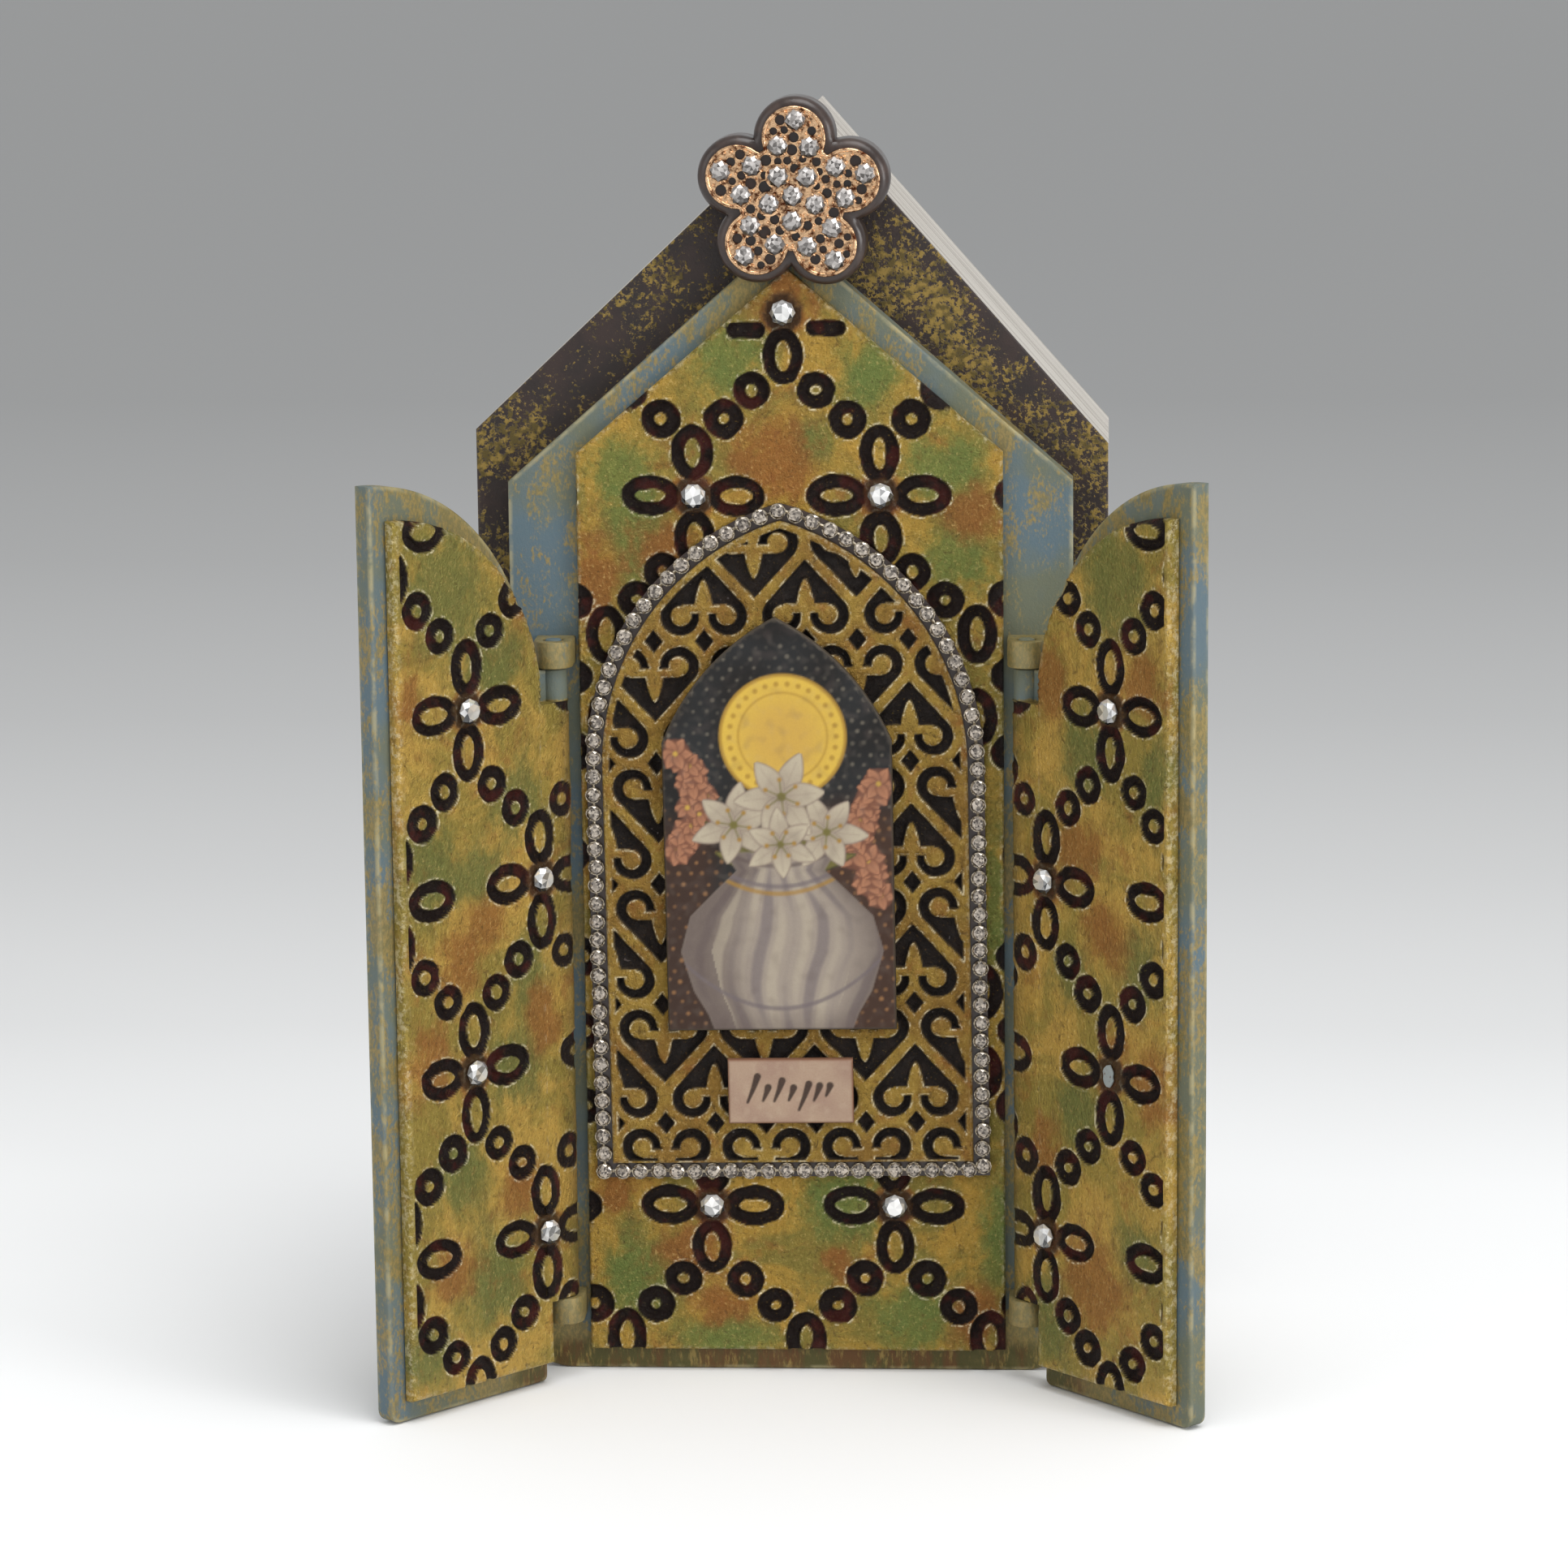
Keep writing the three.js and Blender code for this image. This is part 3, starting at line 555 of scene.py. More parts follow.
def add_piece(name: str, bm: BMesh, finishes: Sequence[Material], placement: Placement, body: str,
              replaces: Sequence[str] = (), crease: float = 40.0) -> None:
    """Makes a finished mesh a piece of the model.

    Args:
        name: The piece's name.
        bm: Its mesh in the sub-assembly's millimetres, which is freed.
        finishes: A material for each material index.
        placement: Where the sub-assembly's frame lies.
        body: The body that it moves with.
        replaces: The CAD nodes that it stands for.
        crease: The angle, in degrees, from which an edge stays sharp. 0 leaves all facets flat.
    """
    bmesh.ops.transform(bm, matrix=placement.matrix(), verts=bm.verts)
    mesh = bpy.data.meshes.new(name)
    bm.to_mesh(mesh)
    bm.free()
    for finish in finishes:
        mesh.materials.append(finish)
    mesh.polygons.foreach_set("use_smooth", [crease > 0] * len(mesh.polygons))
    if crease > 0:
        mesh.set_sharp_from_angle(angle=math.radians(crease))
    piece = bpy.data.objects.new(name, mesh)
    bpy.context.scene.collection.objects.link(piece)
    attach(piece, body)
    if replaces:
        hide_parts(*replaces)
    log.info("%s: %d faces on %s", name, len(mesh.polygons), body)


def filled(outline: Points, y: float) -> tuple[BMesh, BMFace]:
    """Starts a mesh with one face of that outline at depth y, and returns both."""
    bm = bmesh.new()
    face = bm.faces.new([bm.verts.new((x, y, z)) for x, z in outline])
    return bm, face


def soften(bm: BMesh, edges: Sequence[BMEdge], softness: float, segments: int) -> None:
    """Rounds edges by a radius, in so many strips."""
    bmesh.ops.bevel(bm, geom=edges, offset=softness, affect="EDGES", segments=segments, profile=0.5,
                    material=-1)


def slice_at(bm: BMesh, axis: int, place: float) -> None:
    """Cuts the whole mesh by the plane that crosses an axis at a place."""
    across = Vector((axis == 0, axis == 1, axis == 2))
    parts = [*bm.verts, *bm.edges, *bm.faces]
    bmesh.ops.bisect_plane(bm, geom=parts, dist=1e-5, plane_co=across * place, plane_no=across)


def extend(bm: BMesh, faces: Sequence[BMFace], way: Sequence[float]) -> None:
    """Grows faces into a closed body whose far side lies that way off."""
    grown = bmesh.ops.extrude_face_region(bm, geom=faces)["geom"]
    bmesh.ops.translate(bm, verts=[v for v in grown if isinstance(v, BMVert)], vec=way)
    bmesh.ops.recalc_face_normals(bm, faces=bm.faces)


def pierced(loops: Sequence[Sequence[Sequence[float]]], way: Sequence[float]) -> BMesh:
    """Makes a plate with holes.

    Args:
        loops: The corners of its outline, then those of each hole.
        way: From its first face to the far one.

    Returns:
        The plate.
    """
    bm = bmesh.new()
    edges = []
    for loop in loops:
        verts = [bm.verts.new(corner) for corner in loop]
        edges += [bm.edges.new(pair) for pair in zip(verts, [*verts[1:], verts[0]])]
    made = bmesh.ops.triangle_fill(bm, use_beauty=True, edges=edges)["geom"]
    extend(bm, [f for f in made if isinstance(f, BMFace)], way)
    return bm


def mark(bm: BMesh, name: str, value: Callable[[Vector], float]) -> None:
    """Stores a value on every vertex, worked out from its place."""
    layer = bm.verts.layers.float.new(name)
    for vert in bm.verts:
        vert[layer] = value(vert.co)


def ball(bm: BMesh, place: Vector, radius: float) -> None:
    """Adds a small round grain."""
    bmesh.ops.create_icosphere(bm, subdivisions=1, radius=radius, matrix=Matrix.Translation(place))


def slab(outline: Points, back: float, front: float, softness: float, segments: int = 3,
         border: float = 1.2) -> BMesh:
    """Makes an upright board with rounded edges.

    Args:
        outline: The board's outline, seen from the front.
        back: The depth of its back face.
        front: The depth of its front face.
        softness: The radius of the rounding.
        segments: How many strips the rounding has.
        border: How wide a margin of the faces counts as edge.

    Returns:
        The board, whose edge attribute is 1 on the rounding and fades over the border.
    """
    bm, face = filled(outline, back)
    extend(bm, [face], (0, front - back, 0))
    rims = [e for e in bm.edges if abs(e.verts[0].co.y - e.verts[1].co.y) < 1e-6]
    soften(bm, rims, softness, segments)
    mark(bm, "edge", lambda _: 1.0)
    worn = bm.verts.layers.float["edge"]
    flats = [f for f in bm.faces if abs(f.normal.y) > 0.999 and len(f.verts) > 4]
    walls = [f for f in bm.faces if abs(f.normal.y) < 0.01]
    bmesh.ops.inset_individual(bm, faces=flats, thickness=border, use_even_offset=True)
    for vert in {v for f in flats for v in f.verts}:
        vert[worn] = 0.0
    if abs(back - front) > 4 * border:
        bmesh.ops.inset_region(bm, faces=walls, thickness=border, use_even_offset=True)
        for vert in {v for f in walls for v in f.verts}:
            if min(abs(vert.co.y - back), abs(vert.co.y - front)) > softness + border / 2:
                vert[worn] = 0.0
    return bm


@dataclass
class Carving:
    """What a face's carving says about a set of places on it."""

    depth: np.ndarray
    near: np.ndarray
    layers: dict[str, np.ndarray] = field(default_factory=dict)
    paint: np.ndarray | None = None


@dataclass
class ReliefPlate:
    """A plate with a carved front, meshed finely where the carving needs it."""

    outline: Points
    back: float
    front: float
    carve: Callable[[np.ndarray, np.ndarray, float], Carving]
    cell: float = 1.6
    halvings: int = 2
    roll: float = 0.7
    everywhere: bool = False

    def mesh(self) -> BMesh:
        """Returns the plate, with the carving's values as vertex attributes."""
        bm, _ = filled(self.outline, self.front)
        self._cut_grid(bm)
        self._refine(bm)
        self._carve(bm)
        self._close(bm)
        return bm

    def _cut_grid(self, bm: BMesh) -> None:
        """Cuts the front into square cells."""
        for axis in (0, 2):
            low = min(v.co[axis] for v in bm.verts)
            high = max(v.co[axis] for v in bm.verts)
            count = math.ceil((high - low) / self.cell)
            for i in range(1, count):
                slice_at(bm, axis, low + (high - low) * i / count)

    def _places(self, bm: BMesh) -> tuple[np.ndarray, np.ndarray]:
        """Returns the vertices' X and Z."""
        bm.verts.index_update()
        rows = np.array([(v.co.x, v.co.z) for v in bm.verts])
        return rows[:, 0], rows[:, 1]

    def _refine(self, bm: BMesh) -> None:
        """Halves the cells near the carving and along the edge."""
        size = self.cell
        for _ in range(self.halvings):
            x, z = self._places(bm)
            near = self.carve(x, z, size).near | (edge_distance(x, z, self.outline) < size + self.roll)
            if self.everywhere:
                near[:] = True
            edges = [e for e in bm.edges if near[e.verts[0].index] or near[e.verts[1].index]]
            bmesh.ops.subdivide_edges(bm, edges=edges, cuts=1, use_grid_fill=True)
            size /= 2

    def _carve(self, bm: BMesh) -> None:
        """Sinks the vertices by the carving and stores its values on them."""
        x, z = self._places(bm)
        cut = self.carve(x, z, 0)
        rim = edge_distance(x, z, self.outline)
        inside = np.clip(self.roll - rim, 0, self.roll)
        rolled = self.roll - np.sqrt(np.maximum(self.roll**2 - inside**2, 0))
        values = {**cut.layers, "edge": np.clip(1 - rim / (1.8 * self.roll), 0, 1)}
        layers = {name: bm.verts.layers.float.new(name) for name in values}
        paint = None if cut.paint is None else bm.verts.layers.float_color.new("paint")
        for i, vert in enumerate(bm.verts):
            vert.co.y += cut.depth[i] + rolled[i]
            for name, layer in layers.items():
                vert[layer] = values[name][i]
            if paint is not None:
                vert[paint] = (*cut.paint[i], 1)

    def _close(self, bm: BMesh) -> None:
        """Adds the sides and the back."""
        rim = [e for e in bm.edges if e.is_boundary]
        grown = bmesh.ops.extrude_edge_only(bm, edges=rim)["geom"]
        for vert in (v for v in grown if isinstance(v, BMVert)):
            vert.co.y = self.back
        bmesh.ops.edgeloop_fill(bm, edges=[e for e in grown if isinstance(e, BMEdge)])
        bmesh.ops.recalc_face_normals(bm, faces=bm.faces)


@dataclass(frozen=True)
class StoneCut:
    """A flat-backed stone: a girdle, two rows of crown facets and a table with a star of fine facets."""

    radius: float
    height: float
    sides: int = 8
    girdle: float = 0.25
    table: float = 0.52
    star: float = 0.02
    table_light: tuple[float, ...] = (1.0, 0.95, 0.85, 0.35)

    def add(self, bm: BMesh, x: float, back: float, z: float, turn: float) -> None:
        """Adds one stone that stands on depth back at (x, z), turned about its axis."""
        middle = (self.table + 0.98) / 2 + 0.03
        rings = [(0.94, 0.0, 0), (1.0, self.girdle, 0), (middle, 0.72, 0.5), (self.table, 1.0, 0)]
        verts = []
        for reach, rise, offset in rings:
            for i in range(self.sides):
                angle = turn + 2 * math.pi * (i + offset) / self.sides
                across = self.radius * reach
                u, v = across * math.cos(angle), across * math.sin(angle)
                verts.append(bm.verts.new((x + u, back - self.height * rise, z + v)))
        bmesh.ops.convex_hull(bm, input=verts)

    def finish(self, bm: BMesh, rng: random.Random) -> None:
        """Cuts the stars into the tables and gives each facet its own painted lightness: lighter as it
        faces up, and a random painted reflection on the tables.
        """
        bmesh.ops.dissolve_limit(bm, angle_limit=math.radians(1.5), verts=bm.verts, edges=bm.edges)
        bmesh.ops.recalc_face_normals(bm, faces=bm.faces)
        tables = [f for f in bm.faces if f.normal.y < -0.99]
        bmesh.ops.poke(bm, faces=tables, offset=-self.star * self.radius)
        facet = bm.faces.layers.float.new("facet")
        for face in bm.faces:
            # Painted light: facets are lighter as they face up, and table facets take random painted
            # reflections.
            flat = face.normal.y < -0.9
            lit_from_above = 0.42 + 0.7 * face.normal.z + rng.uniform(-0.4, 0.4)
            lightness = rng.choice(self.table_light) if flat else lit_from_above
            face[facet] = min(1.0, max(0.0, lightness))


def tube(bm: BMesh, low: float, high: float, radius: float, softness: float) -> None:
    """Adds an upright round bar on the frame's own axis, with softened ends."""
    middle = Matrix.Translation((0, 0, (low + high) / 2))
    made = bmesh.ops.create_cone(bm, cap_ends=True, segments=32, radius1=radius, radius2=radius,
                                 depth=high - low, matrix=middle)["verts"]
    rims = {e for v in made for e in v.link_edges if abs(e.verts[0].co.z - e.verts[1].co.z) < 1e-6}
    soften(bm, list(rims), softness, 3)


# ---------------------------------------------------------------- the pressed flowers


@dataclass(frozen=True)
class Stain:
    """A rubbed patch of colour on a panel."""

    x: float
    z: float
    reach: float
    tall: float = 1.0

    def cover(self, x: np.ndarray, z: np.ndarray) -> np.ndarray:
        """Returns how strongly the patch colours each place."""
        return np.exp(-(((x - self.x) / self.reach) ** 2 + ((z - self.z) / (self.reach * self.tall)) ** 2))


def stains(*rows: tuple[float, ...]) -> tuple[Stain, ...]:
    """Makes stains from rows of x, z, reach and, for a tall or flat one, tall."""
    return tuple(Stain(*row) for row in rows)


@dataclass
class FlowerLattice:
    """Flowers of four looped petals, joined by small rings, pressed into clay on a diamond lattice."""

    origin: tuple[float, float]
    half_pitch: tuple[float, float]
    stones: list[tuple[float, float]]
    greens: Sequence[Stain]
    umbers: Sequence[Stain]
    outline: Points
    hidden: Callable[[np.ndarray, np.ndarray], np.ndarray]
    seed: int
    lean: float = 0.0
    petal_reach: float = 10.5
    petal: tuple[float, float] = (5.6, 3.45)
    ring_at: tuple[float, float] = (7.8, 19.0)
    ring_radius: float = 3.1
    groove: float = 1.62
    wall: float = 0.7
    depth: float = 1.35
    squareness: float = 1.9
    ceiling: float = 1000.0
    bars: tuple[tuple[float, float, float], ...] = ()
    bar_half: float = 2.0
    seat: float = 4.4

    def loops(self) -> list[tuple[float, float, float, float, float]]:
        """Returns each groove's middle, half sizes and half width, with a hand's unevenness."""
        rng = random.Random(self.seed)
        xs, zs = zip(*self.outline)
        loops = []
        for row in range(-5, 4):
            for column in range(-4, 5):
                if (row + column) % 2:
                    continue
                fz = self.origin[1] + row * self.half_pitch[1]
                fx = self.origin[0] + column * self.half_pitch[0] - row * self.half_pitch[1] * self.lean
                made = []
                for dx, dz in ((1, 0), (-1, 0), (0, 1), (0, -1)):
                    half = self.petal if dx else self.petal[::-1]
                    made.append((fx + dx * self.petal_reach, fz + dz * self.petal_reach, *half))
                for sx in (-1, 1):
                    for sz in (-1, 1):
                        made.append((fx + sx * self.ring_at[0], fz + sz * self.ring_at[1],
                                     self.ring_radius, self.ring_radius))
                for x, z, a, b in made:
                    x, z = x + rng.uniform(-0.3, 0.3), z + rng.uniform(-0.3, 0.3)
                    a, b = a * rng.uniform(0.95, 1.05), b * rng.uniform(0.93, 1.06)
                    width = self.groove * rng.uniform(0.9, 1.12)
                    beside = min(xs) - 12 < x < max(xs) + 12
                    if beside and min(zs) - 8 < z < min(max(zs) + 8, self.ceiling):
                        loops.append((x, z, a, b, width))
        return loops

    def distance(self, x: np.ndarray, z: np.ndarray) -> np.ndarray:
        """Returns how far each place lies outside the grooves, or less than 0 in one."""
        nearest = np.full(len(x), 9.0)
        for cx, cz, a, b, width in self.loops():
            dx, dz = x - cx, z - cz
            close = (np.abs(dx) < a + 6) & (np.abs(dz) < b + 6)
            if not close.any():
                continue
            u, v = np.abs(dx[close]), np.abs(dz[close])
            square = self.squareness
            scale = np.maximum(((u / a) ** square + (v / b) ** square) ** (1 / square), 1e-3)
            pull = np.hypot((u / a) ** (square - 1) / a, (v / b) ** (square - 1) / b)
            slope = np.maximum(pull / scale ** (square - 1), 1e-3)
            apart = np.minimum(np.abs(scale - 1) / slope, 9)
            nearest[close] = np.minimum(nearest[close], apart - width)
        return nearest

    def carve(self, x: np.ndarray, z: np.ndarray, size: float) -> Carving:
        """Returns the pressed pattern at each place, for cells of that size."""
        wobble = 0.26 * ripple(x, z, 2.8, self.seed)
        gap = self.distance(x + wobble, z - wobble)
        for start, end, level in self.bars:
            past = np.maximum(np.maximum(start - x, x - end), 0)
            gap = np.minimum(gap, np.hypot(past, z - level + wobble) - self.bar_half)
        gap = np.where(self.hidden(x, z), 9.0, gap)
        near = (gap > -1.4 - size) & (gap < 0.4 + size)
        if size:
            return Carving(np.zeros(len(x)), near)
        pressed = smooth(0, self.wall, -gap)
        shallow = 0.86 + 0.3 * ripple(x, z, 9, self.seed + 3.5)
        lip = 0.24 * np.exp(-(((gap - 0.36) / 0.34) ** 2)) * (0.6 + ripple(x, z, 4, self.seed + 6.5))
        uneven = 0.17 * ripple(x, z, 15, self.seed + 1.5) + 0.09 * ripple(x, z, 3.5, self.seed + 2.5)
        depth = pressed * shallow * self.depth - lip + uneven + 0.25
        bend = 2.6 * ripple(x, z, 6, self.seed + 5.5)
        layers = {"recess": smooth(-0.2, 0.1, -gap), "lip": np.exp(-(((gap - 0.3) / 0.22) ** 2))}
        for name, patches in (("green", self.greens), ("umber", self.umbers)):
            cover = sum((patch.cover(x + bend, z - bend) for patch in patches), np.zeros(len(x)))
            layers[name] = np.clip(cover, 0, 1)
        for sx, sz in self.stones:
            away = np.hypot(x - sx, z - sz) + 0.5 * ripple(x, z, 1.6, 9)
            seat = smooth(self.seat, self.seat - 1.1, away)
            depth = depth * (1 - seat) + 0.3 * seat
            dark = 0.85 * smooth(self.seat + 1.2, self.seat, away)
            layers["recess"] = np.maximum(layers["recess"] * (1 - seat), dark)
            layers["umber"] = np.maximum(layers["umber"], 0.8 * smooth(7.5, 4.5, away))
        return Carving(depth, near, layers)


# ---------------------------------------------------------------- the scrollwork


@dataclass(frozen=True)
class Scrollwork:
    """Rows of hearts with a spear and two curls, sunk between raised ribs, with lozenges between them."""

    rim: Points
    hidden: Callable[[np.ndarray, np.ndarray], np.ndarray]
    column_pitch: float = 12.55
    first_column: float = -31.65
    row_pitch: float = 30.5
    first_row: float = 10.3
    lozenge: tuple[float, float] = (2.3, 2.9)
    apex: float = 20.0
    lobe: float = 4.8
    lobe_height: float = 6.2
    lobe_across: tuple[float, float] = (6.3, 5.9)
    curl: float = 2.5
    spear_tip: float = 15.2
    spear_foot: float = 9.2
    spear_half: float = 2.2
    arm_height: float = 7.9
    arm_half: float = 1.1
    stem: float = 1.2
    border: float = 1.7
    wall: float = 0.65
    depth: float = 1.7

    def heart(self, u: np.ndarray, v: np.ndarray, across: float) -> np.ndarray:
        """Returns how far each place lies outside one sunk heart that stands on a lozenge at the origin."""
        u = np.abs(u)
        rise = self.apex - self.lobe_height
        slant = math.atan2(across, rise) + math.asin(self.lobe / math.hypot(across, rise))
        du, dv = u - across, v - self.lobe_height
        side = du * math.cos(slant) + dv * math.sin(slant) - self.lobe
        above = (du * math.sin(slant) - dv * math.cos(slant) < 0) & (dv > 0)
        outer = np.where(above, side, np.hypot(du, dv) - self.lobe)
        curl = np.hypot(du + 0.3, dv - 0.1) - self.curl
        left = np.clip((self.spear_tip - v) / (self.spear_tip - self.spear_foot), 0, 1)
        spear = np.where(v > self.arm_height, u - self.spear_half * left**0.55, 9)
        spear = np.where(v > self.spear_tip, np.hypot(u, v - self.spear_tip), spear)
        arm = np.where(u < across - 0.3, np.abs(v - self.arm_height), 9) - self.arm_half
        stem = np.where(v < self.arm_height, u - self.stem, 9)
        fleur = np.minimum(np.minimum(curl, spear), np.minimum(arm, stem))
        return np.maximum(outer, -fleur)

    def distance(self, x: np.ndarray, z: np.ndarray) -> np.ndarray:
        """Returns how far each place lies outside the sunk parts, or less than 0 in one."""
        nearest = np.full(len(x), 9.0)
        a, b = self.lozenge
        for row in range(6):
            for column in range(-1, 7):
                u = x - self.first_column - column * self.column_pitch
                v = z - self.first_row - row * self.row_pitch
                hanging = column % 2 == 0
                close = (np.abs(u) < 13) & (np.abs(v) < 22)
                if not close.any():
                    continue
                uc, vc = u[close], v[close]
                heart = self.heart(uc, -vc if hanging else vc, self.lobe_across[column % 2])
                lozenge = (np.abs(uc) / a + np.abs(vc) / b - 1) * a * b / math.hypot(a, b)
                nearest[close] = np.minimum(nearest[close], np.minimum(heart, lozenge))
        return nearest

    def carve(self, x: np.ndarray, z: np.ndarray, size: float) -> Carving:
        """Returns the scrollwork at each place, for cells of that size."""
        wobble = 0.12 * ripple(x, z, 2.6, 41)
        gap = self.distance(x + wobble, z + wobble)
        gap = np.maximum(gap, self.border - edge_distance(x, z, self.rim))
        covered = self.hidden(x, z)
        gap = np.where(covered, 9.0, gap)
        near = (np.abs(gap) < 0.6 + size) & ~covered
        if size:
            return Carving(np.zeros(len(x)), near)
        sunk = smooth(0, self.wall, -gap)
        crown = 0.28 * (1 - smooth(0, 1.1, gap))
        grit = 0.25 * ripple(x, z, 0.9, 42) * sunk
        uneven = 0.1 * ripple(x, z, 11, 43) + 0.05 * ripple(x, z, 2.2, 44)
        depth = sunk * self.depth + grit + uneven + 0.1 + crown
        layers = {"recess": smooth(-0.2, 0.15, -gap), "lip": np.exp(-(((gap - 0.2) / 0.2) ** 2))}
        return Carving(np.where(covered, 0.2, depth), near, layers)


# ---------------------------------------------------------------- the painting


@dataclass
class Canvas:
    """Paint laid coat by coat over the places of a sheet."""

    x: np.ndarray
    z: np.ndarray
    ground: Shade
    blur: float = 0.3

    def __post_init__(self) -> None:
        """Lays the ground."""
        self.paint = np.tile(np.array(self.ground), (len(self.x), 1))

    def coat(self, cover: np.ndarray, tone: Shade) -> None:
        """Lays a tone with the given cover."""
        self.paint += (np.array(tone) - self.paint) * np.clip(cover, 0, 1)[:, None]

    def fill(self, gap: np.ndarray, tone: Shade, strength: float = 1.0) -> None:
        """Lays a tone where gap is below 0, with a soft edge."""
        self.coat(strength * np.clip(0.5 - gap / self.blur, 0, 1), tone)

    def disc(self, x: float, z: float, radius: float, tone: Shade, strength: float = 1.0) -> None:
        """Paints a disc."""
        self.fill(np.hypot(self.x - x, self.z - z) - radius, tone, strength)

    def ring(self, x: float, z: float, radius: float, half: float, tone: Shade, strength: float) -> None:
        """Paints a ring with that half width."""
        self.fill(np.abs(np.hypot(self.x - x, self.z - z) - radius) - half, tone, strength)

    def stroke(self, points: Sequence[tuple[float, float]], halves: tuple[float, float], tone: Shade,
               strength: float = 1.0) -> None:
        """Draws a brush stroke.

        Args:
            points: The way that the brush takes.
            halves: Its half width at the start and at the end.
            tone: Its colour.
            strength: How well it covers.
        """
        legs = list(zip(points, points[1:]))
        gap = np.full(len(self.x), 1e9)
        for i, ((ax, az), (bx, bz)) in enumerate(legs):
            dx, dz = bx - ax, bz - az
            t = np.clip(((self.x - ax) * dx + (self.z - az) * dz) / (dx * dx + dz * dz), 0, 1)
            half = halves[0] + (halves[1] - halves[0]) * (i + t) / len(legs)
            gap = np.minimum(gap, np.hypot(self.x - ax - t * dx, self.z - az - t * dz) - half)
        self.fill(gap, tone, strength)

    def petal(self, x: float, z: float, angle: float, length: float, width: float,
              tones: tuple[Shade, Shade]) -> None:
        """Paints a leaf-shaped petal from (x, z) along angle, shaded from its root to its tip."""
        c, s = math.cos(angle), math.sin(angle)
        u = (self.x - x) * c + (self.z - z) * s
        v = -(self.x - x) * s + (self.z - z) * c
        t = np.clip(u / length, 0, 1)
        half = width * np.sin(np.pi * t**0.8) ** 0.8
        gap = np.where((u < 0) | (u > length), 9, np.abs(v) - half)
        self.fill(gap - 0.22, tones[0])
        self.fill(gap + 0.12, tones[1])
        self.coat(np.clip(0.5 - (gap + 0.12) / self.blur, 0, 1) * (0.75 * (1 - t) ** 1.6), tones[0])
        vein = np.clip(0.5 - (np.abs(v) - 0.12) / self.blur, 0, 1)
        self.coat(vein * (gap < 0) * 0.35 * (t < 0.8), tones[0])


